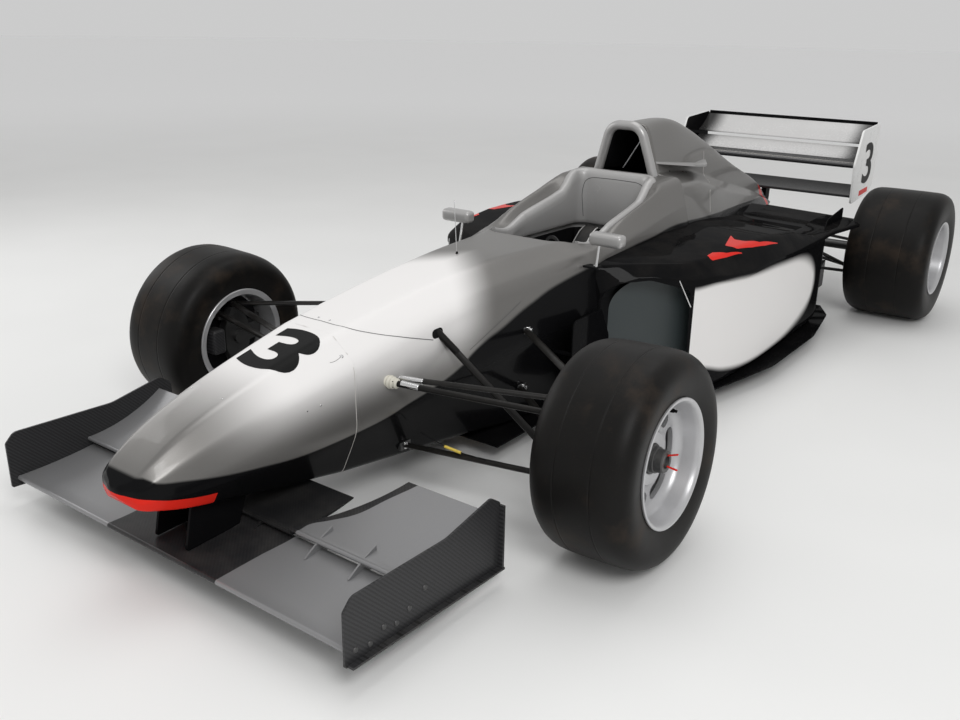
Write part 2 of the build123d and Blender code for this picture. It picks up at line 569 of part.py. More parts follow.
# Diffuser tunnels: roof from x to x, rear end behind the rear axle, height there; fins stand at the outer x
DIFFUSER_TUNNELS = [(0, 150, 330, 300), (150, 440, 60, 200)]
FIN_THICKNESS = 4.0


def build_diffuser():
    front = FLOOR_REAR + SEAM_GAP
    low = FLOOR_TOP - FLOOR_THICKNESS
    half = None
    for x_low, x_high, overhang, rise in DIFFUSER_TUNNELS:
        rear = WHEELBASE + overhang
        start = low if x_low == 0 else DECK_TOP - FLOOR_THICKNESS
        roof = plate([(front, start), (front + 60, start), (rear, rise), (rear, rise + 6), (front + 55, start + 6), (front, start + 6)],
                     [0] * 6, x_low, x_high)
        fin = plate([(front, low), (rear, low + 18), (rear, rise + 6), (front + 55, DECK_TOP), (front, DECK_TOP)],
                    [0] * 5, x_high - FIN_THICKNESS, x_high)
        tunnel = roof + fin
        half = tunnel if half is None else half + tunnel
    whole = half + half.mirror(Plane.YZ)
    nodes["diffuser"] = whole


def aerofoil(lead, trail, thickness, camber):
    """Section between a leading and a trailing point (y, z), hollow side up."""
    y0, z0 = lead
    y1, z1 = trail
    chord = hypot(y1 - y0, z1 - z0)
    across_y, across_z = -(z1 - z0) / chord, (y1 - y0) / chord

    def point(share, offset):
        return (0, y0 + (y1 - y0) * share + across_y * offset, z0 + (z1 - z0) * share + across_z * offset)
    nose_half = thickness * 0.4
    top = Edge.make_three_point_arc(point(0.02, nose_half), point(0.45, thickness / 2 - camber), point(1, 1.5))
    tail = Edge.make_line(point(1, 1.5), point(1, -1.5))
    bottom = Edge.make_three_point_arc(point(1, -1.5), point(0.45, -thickness / 2 - camber), point(0.02, -nose_half))
    nose = Edge.make_three_point_arc(point(0.02, -nose_half), point(-0.02, 0), point(0.02, nose_half))
    return Face(Wire([top, tail, bottom, nose]))


def spanwise(section, x_low, x_high):
    return extrude(section.moved(Location((x_low, 0, 0))), amount=x_high - x_low, dir=(1, 0, 0))


def front_main_plane():
    return spanwise(aerofoil((-884, 98), (-640, 118), 16, 8), -WING_HALF_SPAN, WING_HALF_SPAN)


def build_front_wing(main):
    """Flaps on their carriers, and endplates with a foot rail along the bottom."""
    centre = spanwise(aerofoil((-652, 131), (-440, 152), 9, 6), -300, 300)
    centre = centre - panel([(236, -670), (320, -670), (320, -420), (256, -420)], [0] * 4, 50, 400)
    centre = centre - panel([(-320, -670), (-236, -670), (-256, -420), (-320, -420)], [0] * 4, 50, 400)
    for x in (-120, 120):
        centre = centre + plate([(-690, 108), (-600, 112), (-600, 130), (-650, 131)], [0] * 4, x - 3, x + 3)
    nodes["front_centre_flap"] = centre - main
    flap = spanwise(aerofoil((-652, 142), (-388, 227), 10, 20), 190, WING_HALF_SPAN)
    flap = flap - panel([(150, -664), (236, -664), (262, -590), (424, -366), (424, -300), (150, -300)],
                        [0, 0, 100, 0, 0, 0], 50, 400)
    for x in (330, 480):
        flap = flap + plate([(-700, 104), (-600, 108), (-600, 165), (-640, 150), (-700, 116)], [0] * 5, x, x + 5)
    outer = WING_HALF_SPAN + FRONT_PLATE_THICKNESS
    end = plate([(-908, 75), (-338, 46), (-342, 238), (-382, 265), (-560, 232), (-880, 242), (-908, 214)],
                [6, 6, 20, 30, 120, 26, 12], WING_HALF_SPAN, outer)
    foot = plate([(-900, 74), (-338, 46), (-338, 52), (-900, 80)], [0] * 4, outer, 690)
    lip = box_between((outer, -348, 50), (outer + 14, -340, 232))
    nodes["front_flaps"] = pair(flap - main)
    nodes["front_endplates"] = pair(end + foot + lip)


def build_rear_wing():
    half = REAR_WING_HALF_SPAN
    front = BEAM_WING_FRONT
    beam = spanwise(aerofoil((front, 534), (front + 180, 570), 16, 12), -half, half)
    pillar = plate([(GEARBOX_REAR - 58, 380), (GEARBOX_REAR - 2, 380), (front + 126, 540), (front + 70, 534)], [0] * 4, -14, 14)
    end = plate([(front, 495), (TAIL_END - 59, 523), (TAIL_END, 560), (TAIL_END, 885), (front + 60, 868), (front - 20, 700)],
                [20, 30, 20, 20, 30, 40], half + SEAM_GAP, half + SEAM_GAP + REAR_PLATE_THICKNESS)
    nodes["rear_main_plane"] = spanwise(aerofoil((front - 10, 690), (front + 240, 762), 22, 20), -half, half)
    nodes["rear_flap"] = spanwise(aerofoil((TAIL_END - 131, 784), (TAIL_END - 7, 876), 14, 12), -half, half)
    nodes["rear_beam_wing"] = beam
    nodes["rear_endplates"] = pair(end)
    nodes["rear_wing_pillar"] = pillar - beam - nodes["gearbox"]


def gearbox():
    rows = [
        (GEARBOX_FRONT, [(120, 72), (138, 240), (100, 400)], (0, 0, 0)),
        (WHEELBASE - 340, [(96, 76), (112, 240), (90, 370)], (0, 0, 0)),
        (WHEELBASE, [(80, 190), (GEARBOX_HALF_WIDTH, 300), (70, 392)], (0, 0, 0)),
        (GEARBOX_REAR, [(56, 300), (66, 350), (46, 392)], (0, 0, 0)),
    ]
    case = hull(rows)
    axle = REAR_TYRE_RADIUS
    socket = rod((60, WHEELBASE, axle), (GEARBOX_HALF_WIDTH + 20, WHEELBASE, axle), HUB_SHAFT_RADIUS + 18)
    bore = rod((80, WHEELBASE, axle), (200, WHEELBASE, axle), HUB_SHAFT_RADIUS + BEARING_GAP)
    case = case + socket + socket.mirror(Plane.YZ) - bore - bore.mirror(Plane.YZ)
    return case - rod((0, GEARBOX_REAR - 80, STARTER_HEIGHT), (0, GEARBOX_REAR + 100, STARTER_HEIGHT), STARTER_RADIUS)


def roll_hoop(tub_outer, cover_outer):
    half = HOOP_HALF_WIDTH
    top = HOOP_TOP - HOOP_TUBE
    path = FilletPolyline((half, HOOP_STATION, HOOP_FOOT), (68, HOOP_STATION - 20, top), (-68, HOOP_STATION - 20, top),
                          (-half, HOOP_STATION, HOOP_FOOT), radius=62)
    section = Plane(origin=path @ 0, z_dir=path % 0) * Circle(HOOP_TUBE)
    return sweep(section, path=path) - tub_outer - cover_outer


def steering_rack():
    """Rack bar with a track rod and its eye at each end, in one."""
    bar = rod((-RACK_HALF_LENGTH, RACK_STATION, RACK_HEIGHT), (RACK_HALF_LENGTH, RACK_STATION, RACK_HEIGHT), RACK_RADIUS)
    eye_low = FRONT_AXLE_HEIGHT + STEERING_ARM_RISE + JOINT_GAP
    eye_y = -STEERING_ARM_LENGTH
    link = rod((RACK_HALF_LENGTH, RACK_STATION, RACK_HEIGHT), (KINGPIN_X, eye_y, eye_low + ROD_EYE_HEIGHT / 2), TRACK_ROD_RADIUS)
    joint = box_between((RACK_HALF_LENGTH - 12, RACK_STATION - RACK_CLEVIS, RACK_HEIGHT - RACK_CLEVIS),
                        (RACK_HALF_LENGTH + 12, RACK_STATION + RACK_CLEVIS, RACK_HEIGHT + RACK_CLEVIS))
    eye = rod((KINGPIN_X, eye_y, eye_low), (KINGPIN_X, eye_y, eye_low + ROD_EYE_HEIGHT), ROD_EYE_RADIUS)
    clear_below = box_between((KINGPIN_X - 120, -200, eye_low - 60), (KINGPIN_X + 60, 0, eye_low))
    bore = rod((KINGPIN_X, eye_y, eye_low - 10), (KINGPIN_X, eye_y, eye_low + 40), ROD_EYE_BORE)
    left = (link - clear_below) + eye - bore + joint
    return bar + left + left.mirror(Plane.YZ)


def steering_plane():
    tilt = radians(COLUMN_TILT)
    return Plane(origin=WHEEL_CENTRE, x_dir=(1, 0, 0), z_dir=(0, cos(tilt), sin(tilt)))


def steering_column(radius, length):
    return steering_plane() * (Pos(0, 0, -length / 2) * Cylinder(radius, length))


def steering_wheel():
    grip = Circle(WHEEL_RIM_RADIUS + WHEEL_GRIP) - Circle(WHEEL_RIM_RADIUS - WHEEL_GRIP)
    pad = RectangleRounded(2 * WHEEL_RIM_RADIUS - 8, 64, 14)
    body = extrude(grip, amount=WHEEL_GRIP, both=True) + extrude(pad, amount=8, both=True)
    return steering_plane() * body + steering_column(COLUMN_RADIUS, COLUMN_LENGTH)


def mirrors(tub_outer):
    housing = plate([(738, 648), (790, 652), (790, 692), (744, 696)], [10, 4, 4, 20], 262, 392)
    stalk = rod((300, 745, 576), (300, 757, 655), 5)
    foot = box_between((150, 730, 572), (308, 762, 578))
    return pair(housing + stalk + foot - tub_outer)


def seat():
    floor = COCKPIT_FLOOR + SEAM_GAP
    return plate([(800, floor), (1180, floor), (1330, 200), (1398, BACKREST_TOP - 6), (1376, BACKREST_TOP), (1306, 222), (1170, 150), (800, 150)],
                 [0, 60, 80, 0, 0, 60, 40, 0], -170, 170)


def headrest(tub):
    block = plate([(1020, HEADREST_LOW + 40), (COCKPIT_REAR + 10, HEADREST_LOW), (COCKPIT_REAR + 10, 782), (1320, 766), (1180, 734), (1020, 696)],
                  [0] * 6, -230, 230)
    inner = panel([(-172, 900), (172, 900), (160, 1385), (-160, 1385)], [0, 0, 90, 90], 500, 900)
    solids = (block - inner - tub).solids()
    return max(solids, key=lambda solid: solid.volume)


def bargeboard(tub_outer):
    """Turning vane ahead of the inlet, on the floor deck and a stay from the tub."""
    low = DECK_TOP + SEAM_GAP
    vane = plate([(560, low + 30), (700, low), (792, low), (780, 330), (720, 436), (531, 436), (531, 200)],
                 [30, 0, 0, 40, 0, 30, 60], BARGEBOARD_X, BARGEBOARD_X + 5)
    stay = box_between((240, 560, 300), (BARGEBOARD_X + 2, 580, 306))
    return vane + stay - tub_outer


def winglet(cover_outer):
    """Swept strake that falls towards the back along the side of the engine cover."""
    outline = panel([(40, 1515), (115, 1515), (204, 1714), (204, 1815), (150, 1964), (86, 2090), (40, 2090)],
                    [0, 0, 40, 60, 40, 0, 0], 700, 900)
    high = WINGLET_ROOT_HEIGHT
    low = high - WINGLET_FALL
    rise = WINGLET_THICKNESS
    slope = plate([(1500, high), (1964, low), (2100, low), (2100, low - rise), (1964, low - rise), (1500, high - rise)],
                  [0] * 6, 0, 260)
    return (outline & slope) - cover_outer


def to_frame(shape):
    """The node's solids, moved so that the middle of the car is at the origin."""
    placed = [solid.moved(Location((0, FRAME_SHIFT, 0))) for solid in shape.solids()]
    return placed[0] if len(placed) == 1 else Compound(placed)


def build_all():
    build_wheels()
    build_front_uprights()
    tub_outer, cover_outer = build_body()
    build_sidepods(tub_outer, cover_outer)
    build_floor()
    build_diffuser()
    build_front_wing(nodes["front_main_plane"])
    nodes["gearbox"] = gearbox()
    build_rear_wing()
    build_front_suspension(tub_outer)
    build_rear_suspension(nodes["gearbox"], cover_outer)
    nodes["roll_hoop"] = roll_hoop(tub_outer, cover_outer)
    nodes["steering_rack"] = steering_rack()
    nodes["steering_wheel"] = steering_wheel()
    nodes["mirrors"] = mirrors(tub_outer)
    nodes["seat"] = seat()
    nodes["headrest"] = headrest(nodes["monocoque"])
    nodes["bargeboards"] = pair(bargeboard(tub_outer))
    nodes["winglets"] = pair(winglet(cover_outer))
    nodes["rain_light"] = box_between((-40, GEARBOX_REAR + SEAM_GAP, 300), (40, GEARBOX_REAR + 20, 326))


build_all()
os.makedirs("parts", exist_ok=True)
for node_name, shape in nodes.items():
    export_step(to_frame(shape), "parts/" + node_name + ".step")
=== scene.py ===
import bpy
import bmesh
import json
from math import cos, pi, radians, sin, tan
from mathutils import Matrix, Vector
from mathutils.bvhtree import BVHTree

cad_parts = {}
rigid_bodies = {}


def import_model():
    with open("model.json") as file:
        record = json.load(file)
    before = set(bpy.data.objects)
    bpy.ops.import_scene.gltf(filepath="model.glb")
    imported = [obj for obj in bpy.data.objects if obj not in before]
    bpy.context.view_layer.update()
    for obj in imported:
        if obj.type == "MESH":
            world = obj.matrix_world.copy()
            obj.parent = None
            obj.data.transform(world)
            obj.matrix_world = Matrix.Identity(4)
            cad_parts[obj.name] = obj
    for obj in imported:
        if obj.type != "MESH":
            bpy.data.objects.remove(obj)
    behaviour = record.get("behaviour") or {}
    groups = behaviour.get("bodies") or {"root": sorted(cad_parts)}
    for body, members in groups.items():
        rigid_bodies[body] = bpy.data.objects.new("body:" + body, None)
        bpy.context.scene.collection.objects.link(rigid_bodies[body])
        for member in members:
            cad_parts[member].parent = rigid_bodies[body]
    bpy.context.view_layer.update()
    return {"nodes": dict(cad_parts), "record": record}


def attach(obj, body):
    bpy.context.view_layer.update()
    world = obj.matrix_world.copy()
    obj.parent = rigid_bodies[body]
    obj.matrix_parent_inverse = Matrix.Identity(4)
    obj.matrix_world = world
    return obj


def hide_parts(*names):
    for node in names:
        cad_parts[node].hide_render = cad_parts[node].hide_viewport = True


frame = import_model()

# Stations are in millimetres behind the front axle, x to the driver's left, z above the road
FRONT_AXLE_Y = -1217.0
MM = 0.001


def spot(x, station, z):
    """A point of the car in metres, in the frame of the CAD model."""
    return Vector((x, station + FRONT_AXLE_Y, z)) * MM


def shown(name, data):
    """New object in the scene."""
    made = bpy.data.objects.new(name, data)
    bpy.context.scene.collection.objects.link(made)
    return made


# Camera at the photograph's viewing angle, in metres, degrees and millimetres of lens
CAMERA_PLACE = Vector((1.8965, -3.3231, 1.3936))
CAMERA_AZIMUTH, CAMERA_HEIGHT_ANGLE, CAMERA_ROLL = 36.287, 19.852, 0.994
SENSOR_WIDTH, LENS, SIGHT = 36, 35.73, 120


def look():
    a, e, r = radians(CAMERA_AZIMUTH), radians(CAMERA_HEIGHT_ANGLE), radians(CAMERA_ROLL)
    forward = -Vector((sin(a) * cos(e), -cos(a) * cos(e), sin(e)))
    level = forward.cross(Vector((0, 0, 1))).normalized()
    upright = level.cross(forward)
    right = cos(r) * level + sin(r) * upright
    up = -sin(r) * level + cos(r) * upright
    camera = shown("camera", bpy.data.cameras.new("camera"))
    camera.data.sensor_width = SENSOR_WIDTH
    camera.data.lens = LENS
    camera.data.clip_end = SIGHT
    turn = Matrix((right, up, -forward)).transposed().to_4x4()
    camera.matrix_world = Matrix.Translation(CAMERA_PLACE) @ turn
    bpy.context.scene.camera = camera


look()


# Shader helpers. A new node goes into the tree that its inputs come from
def link(value, socket):
    socket.id_data.links.new(value, socket)


def owner(inputs):
    return next(value.id_data for value in inputs.values() if isinstance(value, bpy.types.NodeSocket))


def filled(made, inputs):
    for key, value in inputs.items():
        if isinstance(value, bpy.types.NodeSocket):
            link(value, made.inputs[key])
        else:
            made.inputs[key].default_value = value
    return made


def node(kind, inputs, tree=None, **settings):
    made = (tree or owner(inputs)).nodes.new(kind)
    for key, value in settings.items():
        setattr(made, key, value)
    return filled(made, inputs)


def calc(operation, first, second=0.0, clamp=False):
    return node("ShaderNodeMath", {0: first, 1: second}, operation=operation, use_clamp=clamp).outputs[0]


def times(first, *others):
    for other in others:
        first = calc("MULTIPLY", first, other)
    return first


def plus(first, second, clamp=False):
    return calc("ADD", first, second, clamp)


def minus(first, second):
    return calc("SUBTRACT", first, second)


def divided(first, second):
    return calc("DIVIDE", first, second)


def blend(share, first, second):
    """Colour mix, from the first at share 0 to the second at share 1."""
    return node("ShaderNodeMix", {0: share, 6: first, 7: second}, data_type="RGBA").outputs[2]


def soft_step(value, low, high):
    return node("ShaderNodeMapRange", {"Value": value, "From Min": low, "From Max": high},
                interpolation_type="SMOOTHSTEP").outputs[0]


def curve_of(value, points):
    """Smooth curve through points given from 0 to 1 in both directions."""
    made = node("ShaderNodeFloatCurve", {"Value": value})
    curve = made.mapping.curves[0]
    for x, y in points[1:-1]:
        curve.points.new(x, y)
    curve.points[0].location = points[0]
    curve.points[-1].location = points[-1]
    made.mapping.update()
    return made.outputs[0]


def axes_of(place):
    return node("ShaderNodeSeparateXYZ", {0: place}).outputs


def noise(place, scale, detail, roughness=0.5):
    return node("ShaderNodeTexNoise",
                {"Vector": place, "Scale": scale, "Detail": detail, "Roughness": roughness}).outputs[0]


def group(name, inputs, outputs):
    """Empty shader group with named sockets: (name, type, default) each way."""
    tree = bpy.data.node_groups.new(name, "ShaderNodeTree")
    kinds = {"float": "NodeSocketFloat", "vector": "NodeSocketVector", "colour": "NodeSocketColor"}
    for label, kind, start in inputs:
        socket = tree.interface.new_socket(label, in_out="INPUT", socket_type=kinds[kind])
        if start is not None:
            socket.default_value = start
    for label, kind in outputs:
        tree.interface.new_socket(label, in_out="OUTPUT", socket_type=kinds[kind])
    return tree, tree.nodes.new("NodeGroupInput").outputs, tree.nodes.new("NodeGroupOutput").inputs


def use(effect, inputs):
    made = owner(inputs).nodes.new("ShaderNodeGroup")
    made.node_tree = effect
    return filled(made, inputs).outputs


def place_of(tree):
    return node("ShaderNodeTexCoord", {}, tree).outputs["Object"]


def make_grain():
    """Fine uneven surface: a colour share and a height."""
    tree, given, result = group("surface grain",
                                [("Place", "vector", None), ("Size", "float", 0.004), ("Stretch", "float", 0.0)],
                                [("Shade", "float"), ("Height", "float")])
    scale = divided(1.0, given["Size"])
    fine = noise(given["Place"], scale, 3.0, 0.6)
    wide = noise(given["Place"], times(scale, 0.04), 2.0)
    shade = plus(times(fine, 0.5), times(wide, 0.5))
    link(shade, result["Shade"])
    link(fine, result["Height"])
    return tree


def make_dust():
    """Dust that settles on faces that look up, in uneven patches."""
    tree, given, result = group("settled dust", [("Place", "vector", None), ("Amount", "float", 0.3)],
                                [("Share", "float")])
    facing = axes_of(node("ShaderNodeNewGeometry", {}, tree).outputs["Normal"])[2]
    patches = noise(given["Place"], 9.0, 5.0, 0.65)
    specks = noise(given["Place"], 420.0, 2.0)
    level = times(soft_step(facing, -0.2, 0.9), soft_step(patches, 0.35, 0.75))
    speckled = times(level, soft_step(specks, 0.3, 0.7))
    share = times(plus(times(level, 0.5), times(speckled, 0.5)), given["Amount"])
    link(share, result["Share"])
    return tree


def make_scratches():
    """Sparse thin marks from handling."""
    tree, given, result = group("handling marks",
                                [("Place", "vector", None), ("Scale", "float", 22.0), ("Amount", "float", 0.5)],
                                [("Share", "float")])
    bent = node("ShaderNodeTexNoise", {"Vector": given["Place"], "Scale": 3.0, "Detail": 2.0})
    moved = node("ShaderNodeVectorMath", {0: given["Place"], 1: bent.outputs["Color"]}, operation="ADD")
    cells = node("ShaderNodeTexVoronoi", {"Vector": moved.outputs[0], "Scale": given["Scale"]},
                 feature="DISTANCE_TO_EDGE")
    line = soft_step(cells.outputs[0], 0.012, 0.0)
    here = noise(given["Place"], 6.0, 1.0)
    share = times(line, soft_step(here, 0.52, 0.66), given["Amount"])
    link(share, result["Share"])
    return tree


def make_weave():
    """Twill weave of carbon cloth in the plane of the given place's x and y."""
    tree, given, result = group("carbon twill", [("Place", "vector", None), ("Tow", "float", 0.0022)],
                                [("Shade", "float"), ("Height", "float")])
    axes = axes_of(given["Place"])
    u = divided(axes[0], given["Tow"])
    v = divided(axes[1], given["Tow"])
    step = plus(calc("FLOOR", u), calc("FLOOR", v))
    over = calc("LESS_THAN", calc("FLOORED_MODULO", step, 4.0), 1.5)
    across_u = calc("ABSOLUTE", calc("SINE", times(u, pi)))
    across_v = calc("ABSOLUTE", calc("SINE", times(v, pi)))
    warp = times(across_u, over)
    weft = times(across_v, minus(1.0, over))
    link(plus(warp, times(weft, 0.55)), result["Shade"])
    link(plus(warp, weft), result["Height"])
    return tree


GRAIN = make_grain()
DUST = make_dust()
MARKS = make_scratches()
WEAVE = make_weave()


def grain_on(place, size):
    return use(GRAIN, {"Place": place, "Size": size})


def dust_on(place, amount):
    return use(DUST, {"Place": place, "Amount": amount})["Share"]


def marks_on(place, amount):
    return use(MARKS, {"Place": place, "Amount": amount})["Share"]


def material(name, roughness=0.5, metallic=0.0, coat=0.0, coat_roughness=0.05, specular=0.5):
    """New material: itself, its shader's sockets and the place on the object."""
    made = bpy.data.materials.new(name)
    made.use_nodes = True
    shader = filled(made.node_tree.nodes["Principled BSDF"], {
        "Roughness": roughness, "Metallic": metallic, "Coat Weight": coat, "Coat Roughness": coat_roughness,
        "Specular IOR Level": specular})
    return made, shader.inputs, place_of(made.node_tree)


def roughen(sockets, height, strength, distance):
    bump = node("ShaderNodeBump", {"Height": height, "Strength": strength, "Distance": distance})
    link(bump.outputs[0], sockets["Normal"])


def varied(low, high, share):
    """A value that goes from low to high with a share."""
    return node("ShaderNodeMapRange", {"Value": share, "To Min": low, "To Max": high}).outputs[0]


def plain_finish(name, colour, roughness, metallic=0.0, coat=0.0, spread=0.12, size=0.004, bump=0.1, dust=0.15,
                 marks=0.3, specular=0.5):
    """Solid colour with fine grain, dust on top and a few marks."""
    made, sockets, place = material(name, roughness, metallic, coat, specular=specular)
    grain = grain_on(place, size)
    dusty = dust_on(place, dust)
    marked = marks_on(place, marks)
    dark = [c * (1 - spread) for c in colour] + [1]
    light = [min(c * (1 + spread), 1) for c in colour] + [1]
    base = blend(grain["Shade"], dark, light)
    base = blend(marked, base, [min(c * 1.5 + 0.04, 1) for c in colour] + [1])
    link(blend(dusty, base, (0.36, 0.33, 0.29, 1)), sockets["Base Color"])
    rough = plus(varied(roughness * 0.85, roughness * 1.15, grain["Shade"]), times(dusty, 0.4))
    link(plus(rough, times(marked, 0.15), clamp=True), sockets["Roughness"])
    roughen(sockets, grain["Height"], bump, 0.0006)
    return made


def carbon_finish(name, plane, tow, light, coat):
    """Carbon cloth whose weave lies in the plane of the two named axes."""
    made, sockets, place = material(name, 0.38, 0.0, coat, 0.12, 0.2)
    axes = axes_of(place)
    first, second = (axes["xyz".index(letter)] for letter in plane)
    flat = node("ShaderNodeCombineXYZ", {0: first, 1: second}).outputs[0]
    weave = use(WEAVE, {"Place": flat, "Tow": tow})
    grain = grain_on(place, 0.02)
    dusty = dust_on(place, 0.08)
    woven = blend(weave["Shade"], (0.007, 0.007, 0.0075, 1), (light, light, light * 1.05, 1))
    link(blend(dusty, woven, (0.25, 0.23, 0.20, 1)), sockets["Base Color"])
    link(plus(varied(0.30, 0.46, grain["Shade"]), times(dusty, 0.4), clamp=True), sockets["Roughness"])
    roughen(sockets, weave["Height"], 0.25, 0.0004)
    return made


# Paint on the nose, tub and engine cover. Curves give the height of the black underside along the car
BODY_LENGTH = 4404.0
NOSE_STATION = -985.0
POD_FRONT, POD_REAR = 785.0, 2556.0
UNDERSIDE = [(-985, 350), (-961, 356), (-931, 341), (-866, 329), (-760, 311), (-660, 299), (-553, 289), (-442, 290),
             (-345, 295), (-246, 304), (-153, 324), (-78, 338), (81, 380), (123, 402), (200, 431), (280, 452),
             (385, 486), (460, 506), (537, 527), (611, 541), (686, 553), (760, 564), (900, 582), (1034, 597),
             (1196, 607), (1379, 620), (1723, 598), (2285, 553), (2884, 504), (3419, 470)]


# Stations in metres where the white begins and ends, and the red band across the tail
WHITE_BEGINS, WHITE_ENDS, RED_BAND = (-0.84, -0.54), (0.25, 0.47), (2.985, 3.045)
RED_LIP_END = -0.78


def make_livery():
    """Shares of white, black and red paint on the body, from the place alone."""
    tree, given, result = group("body livery", [("Place", "vector", None)],
                                [("White", "float"), ("Black", "float"), ("Red", "float")])
    axes = axes_of(given["Place"])
    start = (NOSE_STATION + FRONT_AXLE_Y) * MM
    along = divided(minus(axes[1], start), BODY_LENGTH * MM)
    points = [((station - NOSE_STATION) / BODY_LENGTH, z * MM) for station, z in UNDERSIDE]
    edge = curve_of(along, points)
    above = minus(axes[2], edge)
    softness = curve_of(along, [(0, 0.05), (0.22, 0.06), (0.3, 0.1), (0.4, 0.08), (0.6, 0.05), (1, 0.05)])
    black = minus(1.0, soft_step(divided(above, times(softness, 0.12)), -0.5, 1.0))
    station = minus(axes[1], FRONT_AXLE_Y * MM)
    fade_back = minus(1.0, soft_step(plus(station, times(calc("ABSOLUTE", axes[0]), 0.9)), *WHITE_ENDS))
    fade_front = soft_step(station, *WHITE_BEGINS)
    flank = curve_of(along, [(0, 0.40), (0.1, 0.42), (0.16, 0.44), (0.23, 0.46), (0.3, 0.49), (1, 0.5)])
    high = soft_step(minus(axes[2], flank), -0.10, 0.05)
    white = times(fade_back, fade_front, high)
    lip = times(calc("LESS_THAN", station, RED_LIP_END),
               calc("LESS_THAN", axes[2],
                    curve_of(along, [(0, 0.312), (0.006, 0.307), (0.02, 0.288), (0.05, 0.262), (1, 0.2)])))
    band = times(calc("GREATER_THAN", station, RED_BAND[0]), calc("LESS_THAN", station, RED_BAND[1]))
    lip = calc("MAXIMUM", lip, band)
    link(white, result["White"])
    link(black, result["Black"])
    link(lip, result["Red"])
    return tree


LIVERY = make_livery()
WHITE = (0.80, 0.785, 0.775, 1)
BLACK = (0.005, 0.005, 0.0055, 1)
RED = (0.72, 0.025, 0.015, 1)


def body_paint(name):
    made, sockets, place = material(name, 0.3, 0.0, 0.2, 0.05, 0.03)
    paint = use(LIVERY, {"Place": place})
    flakes = noise(place, 1400.0, 2.0)
    grain = grain_on(place, 0.012)
    silver = blend(flakes, (0.14, 0.136, 0.13, 1), (0.25, 0.244, 0.236, 1))
    silver = blend(times(grain["Shade"], 0.25), silver, (0.18, 0.17, 0.155, 1))
    colour = blend(paint["White"], silver, WHITE)
    colour = blend(paint["Black"], colour, BLACK)
    colour = blend(paint["Red"], colour, RED)
    link(colour, sockets["Base Color"])
    bare = times(minus(1.0, paint["White"]), minus(1.0, paint["Black"]))
    link(times(bare, 0.6), sockets["Metallic"])
    link(varied(0.25, 0.08, paint["Black"]), sockets["Coat Weight"])
    link(varied(0.36, 0.2, paint["Black"]), sockets["Roughness"])
    return made


def silver_finish(name, colour, roughness, metallic):
    made, sockets, place = material(name, roughness, metallic, 0.2, 0.06, 0.3)
    flakes = noise(place, 1400.0, 2.0)
    grain = grain_on(place, 0.01)
    marked = marks_on(place, 0.25)
    dusty = dust_on(place, 0.12)
    base = blend(flakes, [c * 0.86 for c in colour[:3]] + [1], [min(c * 1.12, 1) for c in colour[:3]] + [1])
    base = blend(marked, base, (0.7, 0.7, 0.7, 1))
    link(blend(dusty, base, (0.38, 0.35, 0.31, 1)), sockets["Base Color"])
    link(varied(roughness * 0.85, roughness * 1.2, grain["Shade"]), sockets["Roughness"])
    return made


WING_METALLIC = 0.45
BODY = body_paint("body_paint")
SILVER_PLAIN = silver_finish("silver_paint", (0.42, 0.415, 0.41, 1), 0.36, 0.5)
WHEEL_PAINT = silver_finish("wheel_paint", (0.52, 0.52, 0.53, 1), 0.34, 0.5)
WHITE_PAINT = plain_finish("white_paint", (0.84, 0.84, 0.83), 0.28, coat=0.4, spread=0.03, dust=0.1, marks=0.15)
GLOSS_BLACK = plain_finish("gloss_black", (0.005, 0.005, 0.0055), 0.12, coat=0.10, spread=0.1, dust=0.01,
                           marks=0.05, specular=0.0)
MATT_BLACK = plain_finish("matt_black", (0.007, 0.007, 0.0075), 0.55, dust=0.02, marks=0.05, specular=0.08)
LEG_BLACK = plain_finish("suspension_black", (0.009, 0.0085, 0.008), 0.3, coat=0.12, size=0.006, dust=0.04,
                         specular=0.1)
CARBON_SIDE = carbon_finish("carbon_upright", "yz", 0.0030, 0.05, 0.06)
CARBON_FLAT = carbon_finish("carbon_level", "xy", 0.0026, 0.022, 0.06)
STEEL = plain_finish("satin_steel", (0.45, 0.45, 0.46), 0.32, 1.0, spread=0.15, size=0.003, dust=0.1)
DARK_METAL = plain_finish("dark_metal", (0.09, 0.09, 0.09), 0.4, 0.8, spread=0.25, dust=0.15)
CAST = plain_finish("cast_alloy", (0.36, 0.36, 0.34), 0.55, 0.7, spread=0.18, size=0.002, bump=0.4, dust=0.2)
CREAM = plain_finish("cream_boot", (0.62, 0.60, 0.52), 0.5, spread=0.06)
RED_PAINT = plain_finish("red_paint", (0.66, 0.022, 0.014), 0.3, coat=0.08, spread=0.08, dust=0.02, marks=0.05,
                         specular=0.05)
YELLOW = plain_finish("yellow_sleeve", (0.75, 0.56, 0.08), 0.45, spread=0.06)


def rubber_finish():
    """Slick tyre rubber with a dusty brown bloom in uneven clouds."""
    made, sockets, place = material("tyre_rubber", 0.5, 0.0, 0.0, specular=0.14)
    grain = grain_on(place, 0.003)
    dusty = dust_on(place, 0.1)
    cloudy = noise(place, 7.0, 6.0, 0.6)
    specks = node("ShaderNodeTexVoronoi", {"Vector": place, "Scale": 150.0}).outputs[0]
    base = blend(grain["Shade"], (0.004, 0.0038, 0.0036, 1), (0.009, 0.0083, 0.0078, 1))
    base = blend(times(soft_step(cloudy, 0.48, 0.75), 0.75), base, (0.034, 0.024, 0.017, 1))
    base = blend(times(soft_step(specks, 0.10, 0.04), 0.5), base, (0.09, 0.07, 0.055, 1))
    link(blend(dusty, base, (0.045, 0.035, 0.028, 1)), sockets["Base Color"])
    link(varied(0.34, 0.56, cloudy), sockets["Roughness"])
    roughen(sockets, grain["Height"], 0.25, 0.0008)
    return made


